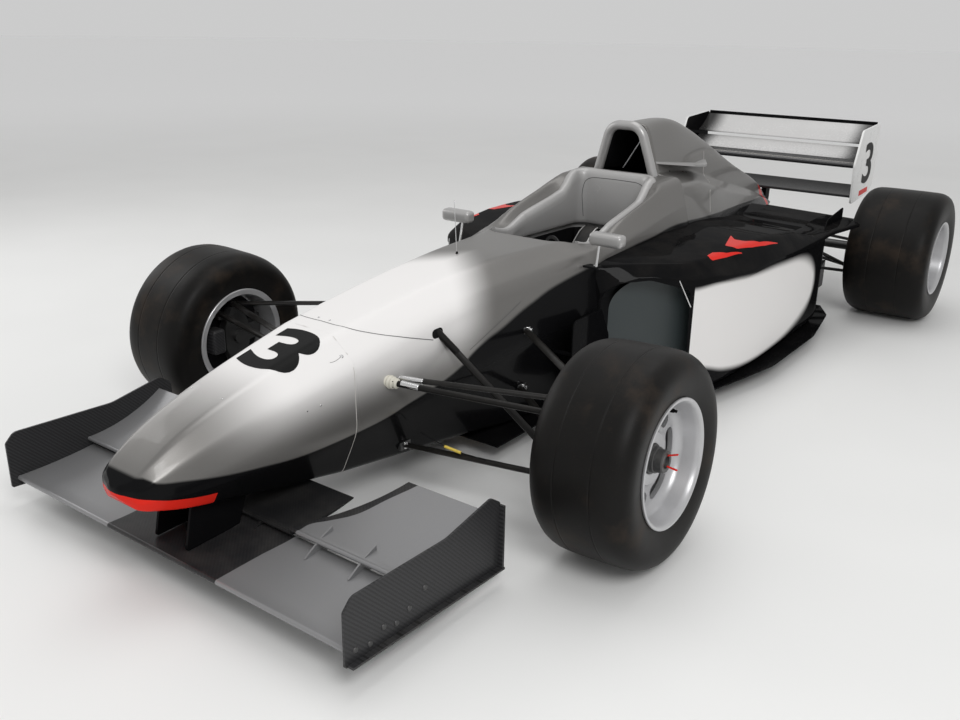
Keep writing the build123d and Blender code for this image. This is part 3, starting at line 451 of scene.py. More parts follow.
def wood_finish():
    made, sockets, place = material("plank_laminate", 0.6)
    rings = node("ShaderNodeTexWave", {"Vector": place, "Scale": 4.0, "Distortion": 5.0, "Detail": 3.0},
                 bands_direction="X").outputs[1]
    link(blend(rings, (0.10, 0.06, 0.035, 1), (0.22, 0.15, 0.09, 1)), sockets["Base Color"])
    roughen(sockets, rings, 0.2, 0.0005)
    return made


def lamp_finish():
    made, sockets, place = material("red_lens", 0.15, coat=0.5)
    cells = node("ShaderNodeTexVoronoi", {"Vector": place, "Scale": 90.0}).outputs[0]
    link(blend(cells, (0.25, 0.01, 0.01, 1), (0.5, 0.03, 0.02, 1)), sockets["Base Color"])
    roughen(sockets, cells, 0.5, 0.001)
    return made


def pod_paint():
    """Glossy black with a white side panel that fades out. Its bounds are points (station, z)."""
    made, sockets, place = material("sidepod_paint", 0.14, 0.0, 0.09, 0.03, 0.0)
    axes = axes_of(place)
    span = POD_REAR - POD_FRONT
    along = divided(minus(axes[1], (POD_FRONT + FRONT_AXLE_Y) * MM), span * MM)

    def bound(points):
        return curve_of(along, [(0, points[0][1] * MM)] + [((s - POD_FRONT) / span, z * MM) for s, z in points]
                        + [(1, points[-1][1] * MM)])

    upper = bound([(964, 488), (1113, 500), (1414, 484), (1676, 475), (1918, 457), (2030, 428), (2090, 392),
                   (2135, 350), (2158, 310), (2168, 285)])
    lower = bound([(964, 174), (1020, 178), (1213, 130), (1439, 101), (1678, 102), (1903, 132), (2055, 175),
                   (2120, 220), (2150, 258), (2168, 290)])
    width = curve_of(along, [(0, 0.18), (0.3, 0.24), (0.6, 0.36), (0.76, 0.6), (1, 0.6)])
    fade = times(width, 0.1)
    top = soft_step(divided(minus(upper, axes[2]), fade), -0.3, 1.0)
    foot = soft_step(divided(minus(axes[2], lower), fade), -0.3, 1.0)
    rear = soft_step(axes[1], (2172 + FRONT_AXLE_Y) * MM, (2095 + FRONT_AXLE_Y) * MM)
    outside = calc("GREATER_THAN", calc("ABSOLUTE", axes[0]), 0.562)
    panel = times(top, foot, times(outside, rear))
    grain = grain_on(place, 0.01)
    dusty = dust_on(place, 0.03)
    dark = blend(grain["Shade"], (0.0045, 0.0045, 0.005, 1), (0.007, 0.007, 0.0075, 1))
    base = blend(panel, dark, WHITE)
    link(blend(dusty, base, (0.30, 0.26, 0.22, 1)), sockets["Base Color"])
    link(plus(varied(0.10, 0.24, grain["Shade"]), times(dusty, 0.5)), sockets["Roughness"])
    return made


def wing_paint(name, edge):
    """Silver outer wing, with bare cloth nearer to the nose than an edge given as (station, x)."""
    made, sockets, place = material(name, 0.34, 0.0, 0.08, 0.1, 0.25)
    axes = axes_of(place)
    first, last = edge[0][0], edge[-1][0]
    along = divided(minus(axes[1], (first + FRONT_AXLE_Y) * MM), (last - first) * MM)
    bound = curve_of(along, [((s - first) / (last - first), x * MM) for s, x in edge])
    silver_share = soft_step(minus(calc("ABSOLUTE", axes[0]), bound), -0.0006, 0.0006)
    weave = use(WEAVE, {"Place": place, "Tow": 0.003})
    grain = grain_on(place, 0.008)
    flakes = noise(place, 1400.0, 2.0)
    silver = blend(flakes, (0.22, 0.22, 0.225, 1), (0.33, 0.33, 0.335, 1))
    cloth = blend(weave["Shade"], (0.007, 0.007, 0.0075, 1), (0.028, 0.028, 0.03, 1))
    dusty = dust_on(place, 0.08)
    base = blend(silver_share, cloth, silver)
    link(blend(dusty, base, (0.34, 0.31, 0.28, 1)), sockets["Base Color"])
    link(times(silver_share, WING_METALLIC), sockets["Metallic"])
    link(varied(0.30, 0.44, grain["Shade"]), sockets["Roughness"])
    return made


# Half spans where the shade begins and ends, stations of the black strip's rear edge and of the light line
TAIL_SHADE, TAIL_STRIP, TAIL_LINE = (0.345, 0.455), (3.166, 3.160), (3.098, 3.102)


def tail_paint():
    """White wing with a dark airbrushed shade towards both ends, and a black front strip with a light line."""
    made, sockets, place = material("tail_wing_paint", 0.26, 0.0, 0.2, 0.06, 0.25)
    axes = axes_of(place)
    end = soft_step(calc("ABSOLUTE", axes[0]), *TAIL_SHADE)
    grain = grain_on(place, 0.01)
    dusty = dust_on(place, 0.04)
    white = blend(grain["Shade"], (0.56, 0.555, 0.55, 1), (0.66, 0.655, 0.65, 1))
    base = blend(end, white, (0.03, 0.03, 0.03, 1))
    station = minus(axes[1], FRONT_AXLE_Y * MM)
    strip = soft_step(station, *TAIL_STRIP)
    line = times(calc("GREATER_THAN", station, TAIL_LINE[0]), calc("LESS_THAN", station, TAIL_LINE[1]))
    base = blend(strip, base, (0.010, 0.010, 0.011, 1))
    base = blend(line, base, (0.62, 0.58, 0.52, 1))
    link(blend(dusty, base, (0.38, 0.35, 0.31, 1)), sockets["Base Color"])
    link(varied(0.2, 0.34, grain["Shade"]), sockets["Roughness"])
    return made


POD_PAINT = pod_paint()
WING_SILVER = wing_paint("front_wing_paint", [(-900, 222), (-746, 224), (-705, 230), (-654, 238), (-600, 240)])
FLAP_PAINT = wing_paint("front_flap_paint",
                        [(-670, 252), (-652, 259), (-610, 264), (-575, 295), (-527, 340), (-447, 389), (-382, 445),
                         (-360, 462)])
TAIL_WHITE = tail_paint()
TEAL = plain_finish("inlet_grey", (0.035, 0.045, 0.047), 0.42, spread=0.1, size=0.006, dust=0.1)
NUMBER_BLACK = plain_finish("number_film", (0.005, 0.005, 0.005), 0.45, spread=0.1, dust=0.0, marks=0.0,
                            specular=0.12)
SEAM_GREY = plain_finish("seam_shadow", (0.10, 0.10, 0.10), 0.6, dust=0.05, marks=0.0)
# Light colour for the thin lines drawn along the nose joint and the engine cover seam.
SEAM_LIGHT = plain_finish("seam_light_line", (0.60, 0.58, 0.55), 0.5, dust=0.05, marks=0.0)
# Cockpit liner silver: the liner is silver paint, and its tone is painted lighter than the body's silver as painted
# light for the light falling on the cockpit's rear wall.
LINER = silver_finish("cockpit_silver_painted_light", (0.42, 0.415, 0.41, 1), 0.42, 0.3)
STRAP = plain_finish("strap_webbing", (0.010, 0.010, 0.011), 0.75, spread=0.3, size=0.0015, bump=0.6)
STITCH_WHITE = plain_finish("strap_border", (0.75, 0.74, 0.72), 0.7, spread=0.05, size=0.0015)
GLASS = plain_finish("mirror_glass", (0.62, 0.65, 0.68), 0.04, 1.0, spread=0.03, marks=0.05, dust=0.08)
BRIGHT = plain_finish("bright_metal", (0.72, 0.72, 0.72), 0.18, 1.0, spread=0.06, dust=0.05)
ORANGE = plain_finish("orange_mark", (0.75, 0.28, 0.05), 0.6, spread=0.1)
RUBBER = rubber_finish()
WOOD = wood_finish()
LAMP = lamp_finish()


# Mesh helpers
def everything(bm):
    return bm.verts[:] + bm.edges[:] + bm.faces[:]


def face_outwards(bm):
    bmesh.ops.recalc_face_normals(bm, faces=bm.faces[:])


def mirror(bm):
    """Moves a shape to the car's other side."""
    bm.transform(Matrix.Scale(-1, 4, (1, 0, 0)))
    bmesh.ops.reverse_faces(bm, faces=bm.faces[:])


def soften(bm, radius, segments):
    """Rounds every edge of a box."""
    bmesh.ops.bevel(bm, geom=bm.edges[:], offset=radius * MM, offset_type="OFFSET", segments=segments, profile=0.5,
                    affect="EDGES", material=-1)


def mesh_of(bm, name):
    mesh = bpy.data.meshes.new(name)
    bm.to_mesh(mesh)
    bm.free()
    return mesh


def rod_matrix(at, along):
    """Place and turn of a round form whose axis goes along a direction."""
    return Matrix.Translation(at) @ along.to_track_quat("Z", "Y").to_matrix().to_4x4()


def piece(name, bm, skin, body="chassis", instead_of=(), crisp=35.0, smooth=True):
    """Finishes a bmesh as a piece: shading, material, body and the CAD nodes that it stands for."""
    for face in bm.faces:
        face.smooth = smooth
    for edge in bm.edges:
        if len(edge.link_faces) == 2:
            edge.smooth = edge.calc_face_angle(0) < radians(crisp)
    made = shown(name, mesh_of(bm, name))
    for each in skin if isinstance(skin, (list, tuple)) else [skin]:
        made.data.materials.append(each)
    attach(made, body)
    if instead_of:
        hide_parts(*instead_of)
    return made


BODY_OF_NODE = {name: body for body, members in frame["record"]["behaviour"]["bodies"].items() for name in members}


def merged(node_name):
    """The CAD node's mesh with its loose triangles joined."""
    bm = bmesh.new()
    bm.from_mesh(frame["nodes"][node_name].data)
    bmesh.ops.remove_doubles(bm, verts=bm.verts[:], dist=2e-6)
    return bm


def dressed(node_name, skin, crisp=30.0):
    """A merged, smooth shaded copy that stands for a CAD node."""
    return piece(node_name + "_skin", merged(node_name), skin, BODY_OF_NODE[node_name],
                 [node_name], crisp)


def between(stations, values, at):
    """Smooth curve through the values at the stations, which never overshoots."""
    if at <= stations[0]:
        return values[0]
    if at >= stations[-1]:
        return values[-1]
    k = max(i for i in range(len(stations) - 1) if stations[i] <= at)
    slopes = [(values[i + 1] - values[i]) / (stations[i + 1] - stations[i]) for i in range(len(stations) - 1)]

    def tangent(i):
        if i == 0:
            return slopes[0]
        if i == len(slopes):
            return slopes[-1]
        before, after = slopes[i - 1], slopes[i]
        return 0.0 if before * after <= 0 else 2 * before * after / (before + after)

    width = stations[k + 1] - stations[k]
    t = (at - stations[k]) / width
    a, b = values[k], values[k + 1]
    ta, tb = tangent(k) * width, tangent(k + 1) * width
    return (a * (2 * t ** 3 - 3 * t ** 2 + 1) + ta * (t ** 3 - 2 * t ** 2 + t)
            + b * (3 * t ** 2 - 2 * t ** 3) + tb * (t ** 3 - t ** 2))


ARC_STEPS = 6
RUN_STEPS = 4


def rounded(corners, radii):
    """Points round a closed outline with rounded corners. Outlines of as many corners get as many points."""
    points = [Vector(c) for c in corners]
    count = len(points)
    result = []
    for i, corner in enumerate(points):
        towards = (points[i - 1] - corner).normalized()
        away = (points[(i + 1) % count] - corner).normalized()
        half = towards.angle(away) / 2
        room = min((points[i - 1] - corner).length, (points[(i + 1) % count] - corner).length) * 0.48
        reach = min(max(radii[i], 0.5) / tan(half), room)
        radius = reach * tan(half)
        centre = corner + (towards + away).normalized() * (radius / sin(half))
        first = corner + towards * reach - centre
        last = corner + away * reach - centre
        sweep = first.angle(last)
        arc = []
        for k in range(ARC_STEPS + 1):
            t = k / ARC_STEPS
            if sweep < 1e-4:
                arc.append(centre + first.lerp(last, t))
            else:
                arc.append(centre + (first * sin((1 - t) * sweep) + last * sin(t * sweep)) / sin(sweep))
        result.append(arc)
    loop = []
    for i, arc in enumerate(result):
        loop += arc
        following = result[(i + 1) % count][0]
        loop += [arc[-1].lerp(following, k / RUN_STEPS) for k in range(1, RUN_STEPS)]
    return loop


def sections(rows, stations):
    """Loops of points at the given stations, from rows of (station, left half corners, radii)."""
    known = [row[0] for row in rows]
    loops = []
    for at in stations:
        half, radii = [], []
        for c in range(len(rows[0][1])):
            half.append(tuple(between(known, [row[1][c][axis] for row in rows], at) for axis in (0, 1)))
            radii.append(between(known, [row[2][c] for row in rows], at))
        corners = [(x, z) for x, z in half] + [(-x, z) for x, z in reversed(half)]
        loops.append([spot(p.x, at, p.y)
                      for p in rounded([Vector((x, z)) for x, z in corners], radii + radii[::-1])])
    return loops


def grid_of(loops, closed=True):
    """Sheet of faces through rows of points, made from a grid whose points are put in place."""
    rows, columns = len(loops), len(loops[0])
    bm = bmesh.new()
    extra = 1 if closed else 0
    bmesh.ops.create_grid(bm, x_segments=columns - 1 + extra, y_segments=rows - 1, size=1)
    bm.verts.ensure_lookup_table()
    for i, vert in enumerate(bm.verts):
        row, column = divmod(i, columns + extra)
        vert.co = loops[row][column % columns]
    if closed:
        bmesh.ops.remove_doubles(bm, verts=bm.verts[:], dist=1e-6)
    face_outwards(bm)
    return bm


def cap_ends(bm):
    """Closes every open rim with a face, and turns the faces outwards."""
    rims = [edge for edge in bm.edges if len(edge.link_faces) == 1]
    bmesh.ops.holes_fill(bm, edges=rims, sides=0)
    face_outwards(bm)
    return bm


def steps(first, last, size):
    count = max(int(round(abs(last - first) / size)), 1)
    return [first + (last - first) * i / count for i in range(count + 1)]


# Body sections: station, the left half's corners (x, z) from below upwards, and their radii
NOSE = [
    (-985, [(22, 294), (34, 306), (34, 322), (20, 334)], (6, 6, 6, 6)),
    (-968, [(64, 274), (78, 296), (76, 330), (52, 350)], (12, 14, 16, 14)),
    (-930, [(86, 262), (102, 300), (96, 346), (62, 378)], (20, 26, 28, 20)),
    (-850, [(92, 238), (126, 300), (112, 374), (68, 422)], (24, 44, 44, 30)),
    (-700, [(98, 208), (152, 300), (134, 416), (74, 476)], (28, 70, 56, 36)),
    (-500, [(110, 172), (180, 300), (162, 462), (80, 528)], (34, 90, 62, 40)),
    (-340, [(120, 143), (194, 306), (178, 494), (88, 563)], (40, 110, 66, 44)),
]
TUB = [
    (-339.7, [(120, 143), (194, 306), (178, 494), (88, 563)], (40, 110, 66, 44)),
    (-100, [(130, 113), (216, 330), (190, 530), (94, 600)], (40, 120, 70, 46)),
    (176, [(150, 84), (238, 350), (205, 560), (104, 630)], (36, 130, 70, 50)),
    (450, [(180, 54), (262, 380), (222, 580), (124, 645)], (30, 130, 66, 54)),
    (700, [(205, 50), (290, 400), (248, 600), (152, 646)], (30, 130, 60, 54)),
    (850, [(210, 50), (298, 430), (274, 610), (200, 664)], (30, 125, 50, 46)),
    (1000, [(215, 50), (304, 460), (282, 630), (226, 706)], (30, 120, 46, 34)),
    (1180, [(215, 50), (308, 490), (284, 652), (234, 746)], (30, 120, 46, 34)),
    (1320, [(215, 50), (310, 515), (280, 668), (238, 778)], (30, 120, 46, 34)),
    (1500, [(215, 50), (308, 540), (272, 680), (240, 790)], (30, 120, 46, 34)),
]
COVER = [
    (0, [(255, 330), (304, 540), (238, 770), (132, 794), (70, 990)], (0, 90, 30, 0, 50)),
    (0.16, [(240, 330), (286, 520), (204, 740), (118, 778), (60, 996)], (0, 90, 40, 0, 48)),
    (0.3, [(220, 335), (262, 500), (176, 690), (100, 740), (50, 938)], (0, 80, 40, 0, 40)),
    (0.43, [(190, 345), (228, 480), (146, 640), (84, 690), (40, 862)], (0, 70, 40, 0, 32)),
    (0.68, [(130, 385), (152, 460), (98, 560), (52, 600), (22, 706)], (0, 40, 30, 0, 18)),
    (0.93, [(66, 420), (76, 452), (52, 486), (30, 500), (13, 560)], (0, 14, 12, 0, 10)),
    (1, [(44, 430), (50, 446), (38, 458), (24, 464), (10, 484)], (0, 6, 6, 0, 6)),
]
COVER_FRONT, COVER_REAR = 1500.3, 3114.0
COVER_SMOOTHING, COVER_WALL = 14, 5
# Share of the way back, inner x, wall's x, lip's x and height, ridge's x and height, height at the tub
SIDEPOD = [
    (0, 230, 296, 300, 470, 262, 560, 588),
    (0.058, 230, 426, 430, 530, 372, 572, 592),
    (0.123, 230, 562, 567, 519, 508, 575, 598),
    (0.167, 230, 594, 605, 524, 545, 577, 600),
    (0.233, 230, 619, 630, 512, 570, 582, 606),
    (0.302, 230, 631, 643, 504, 588, 588, 612),
    (0.42, 225, 641, 652, 513, 598, 588, 608),
    (0.593, 190, 643, 655, 498, 595, 560, 580),
    (0.731, 180, 640, 655, 500, 564, 532, 544),
    (0.827, 170, 628, 656, 505, 534, 520, 528),
    (0.912, 156, 548, 672, 503, 522, 520, 528),
    (1, 156, 318, 690, 500, 540, 522, 530),
]


def placed(rows, front, rear):
    return [(front + row[0] * (rear - front), *row[1:]) for row in rows]


def raised(outline, way):
    """Closed solid between a flat outline in metres and the same outline moved one way."""
    bm = bmesh.new()
    base = bm.faces.new([bm.verts.new(point) for point in outline])
    grown = bmesh.ops.extrude_face_region(bm, geom=[base])["geom"]
    bmesh.ops.translate(bm, verts=[v for v in grown if isinstance(v, bmesh.types.BMVert)], vec=way)
    face_outwards(bm)
    return bm


def prism(outline, low, high, along="z", index=0):
    """Closed solid: an outline in millimetres, raised along an axis. Its faces take a material index."""
    def at_height(a, b, h):
        return spot(*{"z": (a, b, h), "x": (h, a, b), "y": (a, h, b)}[along])

    bm = raised([at_height(a, b, low) for a, b in outline], at_height(0, 0, high) - at_height(0, 0, low))
    for face in bm.faces:
        face.material_index = index
    return bm


def soft_prism(corners, radii, low, high, along="z", index=0):
    return prism([tuple(p) for p in rounded([Vector(c) for c in corners], radii)], low, high, along, index)


def stand_in(bm):
    """Temporary object from a bmesh, with two material slots for cut faces."""
    made = shown("work", mesh_of(bm, "work"))
    for skin in (BODY, MATT_BLACK):
        made.data.materials.append(skin)
    return made


def taken_from(bm, *cutters):
    """The solid without the cutters' room. Cut faces keep the cutter's material index."""
    body = stand_in(bm)
    tools = [stand_in(each) for each in cutters]
    for tool in tools:
        cut = body.modifiers.new("cut", "BOOLEAN")
        cut.operation = "DIFFERENCE"
        cut.solver = "EXACT"
        cut.object = tool
    bpy.context.view_layer.update()
    result = bmesh.new()
    result.from_object(body, bpy.context.evaluated_depsgraph_get())
    for each in [body] + tools:
        bpy.data.objects.remove(each)
    return result


def finished(made, bevel, segments=2, angle=35.0):
    """Rounded edges as a live modifier."""
    edge = made.modifiers.new("rounded edges", "BEVEL")
    edge.width = bevel * MM
    edge.segments = segments
    edge.limit_method = "ANGLE"
    edge.angle_limit = radians(angle)
    return made


def fitting(name, bm, skin, bevel, segments):
    return finished(piece(name, bm, skin), bevel, segments)


def clad(node_name, skin, crisp, bevel, segments):
    return finished(dressed(node_name, skin, crisp), bevel, segments)


# Nose, with a rounded tip
def nose_loops():
    loops = sections(NOSE, [-985, -983, -980, -976, -971, -965, -957, -947, -936] + steps(-925, -340, 22))
    tip = sum(loops[0], Vector()) / len(loops[0])
    caps = [[tip + (p - tip) * share + Vector((0, -back * MM, 0)) for p in loops[0]]
            for share, back in ((0.25, 6.5), (0.55, 5.2), (0.8, 3.0))]
    return caps + loops


def make_nose():
    piece("nose_shell", cap_ends(grid_of(nose_loops())), BODY, instead_of=["nose_cone"])
    for side in (1, -1):
        pylon = soft_prism([(-850, 108), (-680, 112), (-640, 225), (-820, 245)], [6, 6, 0, 0],
                           *sorted((side * 58, side * 66)), "x")
        fitting("nose_pylon_" + ("left" if side > 0 else "right"), pylon, GLOSS_BLACK, 2.5, 3)


# Tub, with the driver's opening cut into it
MOUTH = [(-184, 712), (184, 712), (200, 1000), (188, 1425), (-188, 1425), (-200, 1000)]
MOUTH_RADII = [90, 90, 0, 70, 70, 0]
LINER_LOW = 548.0
TOP_HEIGHTS = [(712, 647), (850, 664), (1000, 706), (1180, 746), (1320, 778), (1430, 787)]


def top_height(station):
    return between([s for s, z in TOP_HEIGHTS], [z for s, z in TOP_HEIGHTS], station)


# The rim falls towards the seat, from its crest over a width in x, by a depth
RIM_CREST, RIM_WIDTH, RIM_FALL = 252, 62, 58
# Stations where the fall begins and ends, and the length over which it grows and fades
FALL_FRONT, FALL_GROWS, FALL_REAR, FALL_FADES = 730, 190, 1352, 90
TUB_UNDERSIDE, RIM_LOW = 56.6, 560


def inward_fall(x, station):
    """How far the rim lies under its outer crest, nearer to the seat."""
    across = min(max((RIM_CREST - abs(x)) / RIM_WIDTH, 0), 1)
    along = min(max((station - FALL_FRONT) / FALL_GROWS, 0), 1) * min(max((FALL_REAR - station) / FALL_FADES, 0), 1)
    return RIM_FALL * across * across * (3 - 2 * across) * along * along * (3 - 2 * along)


def make_tub():
    loops = sections(TUB, steps(-339.7, 1500, 30))
    for loop in loops:
        for p in loop:
            p.z = max(p.z, TUB_UNDERSIDE * MM)
    shell = cap_ends(grid_of(loops))
    well = soft_prism(MOUTH, MOUTH_RADII, 125, 900, index=1)
    hollow = taken_from(shell, well)
    bmesh.ops.bisect_plane(hollow, geom=everything(hollow), plane_co=(0, 0, LINER_LOW * MM), plane_no=(0, 0, 1))
    for vert in hollow.verts:
        if vert.co.z > RIM_LOW * MM:
            vert.co.z -= inward_fall(vert.co.x / MM, vert.co.y / MM - FRONT_AXLE_Y) * MM
    for face in hollow.faces:
        # Cut faces above the liner's lower edge take the liner silver, painted lighter as painted light on the
        # cockpit wall.
        if face.material_index == 1 and face.calc_center_median().z > LINER_LOW * MM:
            face.material_index = 2
    piece("tub_shell", hollow, [BODY, MATT_BLACK, LINER], instead_of=["monocoque"])


def make_cover():
    loops = sections(placed(COVER, COVER_FRONT, COVER_REAR),
                     steps(COVER_FRONT, COVER_REAR - 30, 32) + [COVER_REAR - 14, COVER_REAR - 4, COVER_REAR])
    shell = grid_of(loops)
    face_outwards(shell)
    inner = [vert for vert in shell.verts if not vert.is_boundary]
    for turn in range(COVER_SMOOTHING):
        bmesh.ops.smooth_vert(shell, verts=inner, factor=0.5, use_axis_x=True, use_axis_y=True, use_axis_z=True)
    made = piece("cover_shell", shell, [BODY, MATT_BLACK], instead_of=["engine_cover"])
    wall = made.modifiers.new("wall", "SOLIDIFY")
    wall.thickness = COVER_WALL * MM
    wall.offset = -1
    wall.material_offset = 1
    wall.material_offset_rim = 0


def pod_section(row, sign):
    station, inner, side, lip_x, lip_z, ridge_x, ridge_z, inner_top = row
    corners = [(inner, 70.3), (side, 70.3), (side, lip_z - 26), (lip_x, lip_z - 20), (lip_x, lip_z),
               (ridge_x, ridge_z), (inner, inner_top)]
    radii = [0, (side - inner) * 0.13, 10, 6, 12, 40, 0]
    return [spot(sign * p.x, station, p.y) for p in rounded([Vector(c) for c in corners], radii)]


def make_pods():
    known = placed(SIDEPOD, POD_FRONT, POD_REAR)
    at = [785, 795, 810, 830, 850] + steps(870, 2530, 30) + [2545, 2556]
    rows = [(station,) + tuple(between([row[0] for row in known], [row[k] for row in known], station)
                               for k in range(1, 8)) for station in at]
    for side, sign in (("left", 1), ("right", -1)):
        hull = cap_ends(grid_of([pod_section(row, sign) for row in rows]))
        corners = [(302, 118), (558, 118), (552, 486), (440, 520), (302, 500)]
        duct = soft_prism(on_side(corners, sign), [0, 40, 26, 40, 120], 700, 1185, "y", index=1)
        pod = taken_from(hull, duct)
        piece("sidepod_shell_" + side, pod, [POD_PAINT, MATT_BLACK],
              instead_of=["sidepod_" + side])
        fence = soft_prism([(2306, 500), (2556, 500), (2556, 566), (2336, 540)], [0, 0, 10, 20],
                           *sorted((sign * 600, sign * 605)), "x")
        fitting("pod_fence_" + side, fence, GLOSS_BLACK, 1.5, 2)


# Wheels are turned round the x axis, then leaned and set on their axles
CAMBER = 2.3
# Tyre radius, tyre width, and how far the disc lies inside the rim's edge
WHEELS = {"front": (297, 288, 74), "rear": (313, 380, 120)}
FRONT_AXLE = (846.203, 0.0, 300.694)
REAR_AXLE = (810.0, 2900.0, 313.0)


def turned(profile, count=96, closed=True):
    """Ring from a profile of (along, radius) in millimetres."""
    bm = bmesh.new()
    verts = [bm.verts.new((a * MM, 0, r * MM)) for a, r in profile]
    for first, second in zip(verts, verts[1:] + verts[:1] if closed else verts[1:]):
        bm.edges.new((first, second))
    bmesh.ops.spin(bm, geom=bm.verts[:] + bm.edges[:], cent=(0, 0, 0), axis=(1, 0, 0), dvec=(0, 0, 0), angle=2 * pi,
                   steps=count, use_merge=True)
    bmesh.ops.remove_doubles(bm, verts=bm.verts[:], dist=1e-6)
    face_outwards(bm)
    return bm


def on_axle(bm, end, side):
    """Moves a wheel's piece from the origin to its axle, mirrored for the right side."""
    if end == "front":
        turn = Matrix.Translation(spot(*FRONT_AXLE)) @ Matrix.Rotation(radians(-CAMBER), 4, "Y")
    else:
        turn = Matrix.Translation(spot(*REAR_AXLE))
    bm.transform(turn)
    if side == "right":
        mirror(bm)
    return bm


def tyre_profile(radius, width):
    half = width / 2
    side = [(half - 16, 165.4), (half - 13, 171), (half - 11, 180), (half - 7, 194), (half - 3, 212),
            (half - 0.4, 230), (half, 243), (half - 1.6, radius - 42), (half - 5.5, radius - 31),
            (half - 13, radius - 20), (half - 24, radius - 11.5), (half - 36, radius - 6),
            (half - 50, radius - 2.4), (half - 70, radius - 0.8)]
    line = half * 0.36
    groove = [(line + 5, radius - 0.1), (line + 1.2, radius), (line + 0.4, radius - 0.7),
              (line - 0.4, radius - 0.7), (line - 1.2, radius), (line - 5, radius)]
    half_loop = side + groove + [(line * 0.4, radius)]
    return half_loop + [(-a, r) for a, r in reversed(half_loop)]


def rim_profile(width, dish):
    flange = width / 2 - 5
    face = flange - dish
    back = face - 14
    outer = [(flange - 7, 165), (flange - 7, 176.5), (flange - 5.5, 178), (flange - 1.5, 178), (flange, 176.5),
             (flange, 172.5), (flange - 2.5, 168.5), (flange - 8, 164.5), (flange - 20, 161.2), (face + 24, 156.5),
             (face + 14, 153.5), (face + 6, 147), (face + 1.6, 140), (face, 134)]
    middle = [(face, 79), (face + 2, 75), (face + 6.5, 72.4), (face + 8, 71), (face + 8, 43), (back, 43),
              (back, 158)]
    inner = [(-flange + 3, 158), (-flange, 170), (-flange, 176.5), (-flange + 1.5, 178), (-flange + 5.5, 178),
             (-flange + 7, 176.5), (-flange + 7, 165)]
    return outer + middle + inner


def kidney(start, sweep, radius, width, low, high):
    """Arc shaped cutter with round ends, across the wheel's disc."""
    count = 10
    outline = []
    for sign in (1, -1):
        for k in range(count + 1):
            t = radians(start + sweep * (k / count if sign > 0 else 1 - k / count))
            r = radius + sign * width / 2
            outline.append((r * cos(t), r * sin(t)))
        end = radians(start + (sweep if sign > 0 else 0))
        for k in range(1, 6):
            turn = end + (pi * k / 6 if sign > 0 else pi + pi * k / 6)
            outline.append((radius * cos(end) + width / 2 * cos(turn),
                            radius * sin(end) + width / 2 * sin(turn)))
    return raised([(low * MM, y * MM, z * MM) for y, z in outline], ((high - low) * MM, 0, 0))


def make_wheels():
    for end, (radius, width, dish) in WHEELS.items():
        face = width / 2 - 5 - dish
        for side in ("left", "right"):
            body = end + "_wheel_" + side
            tail = end + "_" + side
            tyre = on_axle(turned(tyre_profile(radius, width), 120), end, side)
            piece("tyre_" + tail, tyre, RUBBER, body, [end + "_tyre_" + side], crisp=50)
            ring = turned(rim_profile(width, dish), 96)
            slots = [kidney(60 * i - 15, 30, 114, 42, face - 30, face + 12) for i in range(6)]
            wheel = on_axle(taken_from(ring, *slots), end, side)
            made = piece("rim_" + tail, wheel, WHEEL_PAINT, body, [end + "_rim_" + side], crisp=40)
            finished(made, 2.2, 3, 40)
            make_wheel_trim(end, side, body, tail, face)


def small(kind, size, at, turn=(0, 0, 0)):
    """Small round or square form in wheel or car millimetres, before its edges are rounded."""
    bm = bmesh.new()
    matrix = Matrix.Translation(Vector(at) * MM)
    for k, axis in ((2, "Z"), (1, "Y"), (0, "X")):
        matrix = matrix @ Matrix.Rotation(turn[k], 4, axis)
    if kind == "cube":
        bmesh.ops.create_cube(bm, size=1, matrix=matrix @ Matrix.Diagonal((*[s * MM for s in size], 1)))
    else:
        low, high, depth = size
        bmesh.ops.create_cone(bm, cap_ends=True, segments=24, radius1=low * MM, radius2=high * MM, depth=depth * MM,
                              matrix=matrix)
    return bm


def joined(parts):
    bm = bmesh.new()
    for part in parts:
        mesh = mesh_of(part, "part")
        bm.from_mesh(mesh)
        bpy.data.meshes.remove(mesh)
    return bm


def make_wheel_trim(end, side, body, tail, face):
    """Nut with its two red clips, the valve and the hub."""
    quarter = pi / 2
    lip = face + 8
    nut = turned([(lip, 0), (lip, 41), (lip + 4, 41), (lip + 6, 37), (lip + 16, 36), (lip + 18, 33), (lip + 38, 31),
                  (lip + 41, 28), (lip + 41, 18), (lip + 30, 16), (lip + 30, 0)], 36, closed=False)
    piece("wheel_nut_" + tail, on_axle(nut, end, side), DARK_METAL, body)
    clips = joined([small("cube", (30, 6, 4), (lip + 52, 12, z), (0, -0.25 * s, 0.2))
                    for z, s in ((19, 1), (-19, -1))])
    finished(piece("nut_clips_" + tail, on_axle(clips, end, side), RED_PAINT, body), 1.2, 2)
    valve = joined([small("cone", (6, 6, 12), (face + 14, 92, 108), (0, quarter, 0)),
                    small("cone", (4.5, 4, 14), (face + 22, 92, 108), (0, quarter, 0))])
    finished(piece("valve_" + tail, on_axle(valve, end, side), MATT_BLACK, body), 0.8, 2)
    skin = merged(end + "_hub_" + side)
    piece("hub_" + tail, skin, DARK_METAL, body, [end + "_hub_" + side])


# Pieces that lie on a surface
def surface_of(*owners):
    """Search tree over the shown meshes of some pieces, with their modifiers."""
    bpy.context.view_layer.update()
    graph = bpy.context.evaluated_depsgraph_get()
    bm = bmesh.new()
    for owner in owners:
        mesh = owner.evaluated_get(graph).to_mesh()
        bm.from_mesh(mesh)
        owner.evaluated_get(graph).to_mesh_clear()
    bmesh.ops.triangulate(bm, faces=bm.faces[:])
    tree = BVHTree.FromBMesh(bm)
    bm.free()
    return tree


RIBBON_LIFT, RIBBON_STEP = 0.5, 10.0


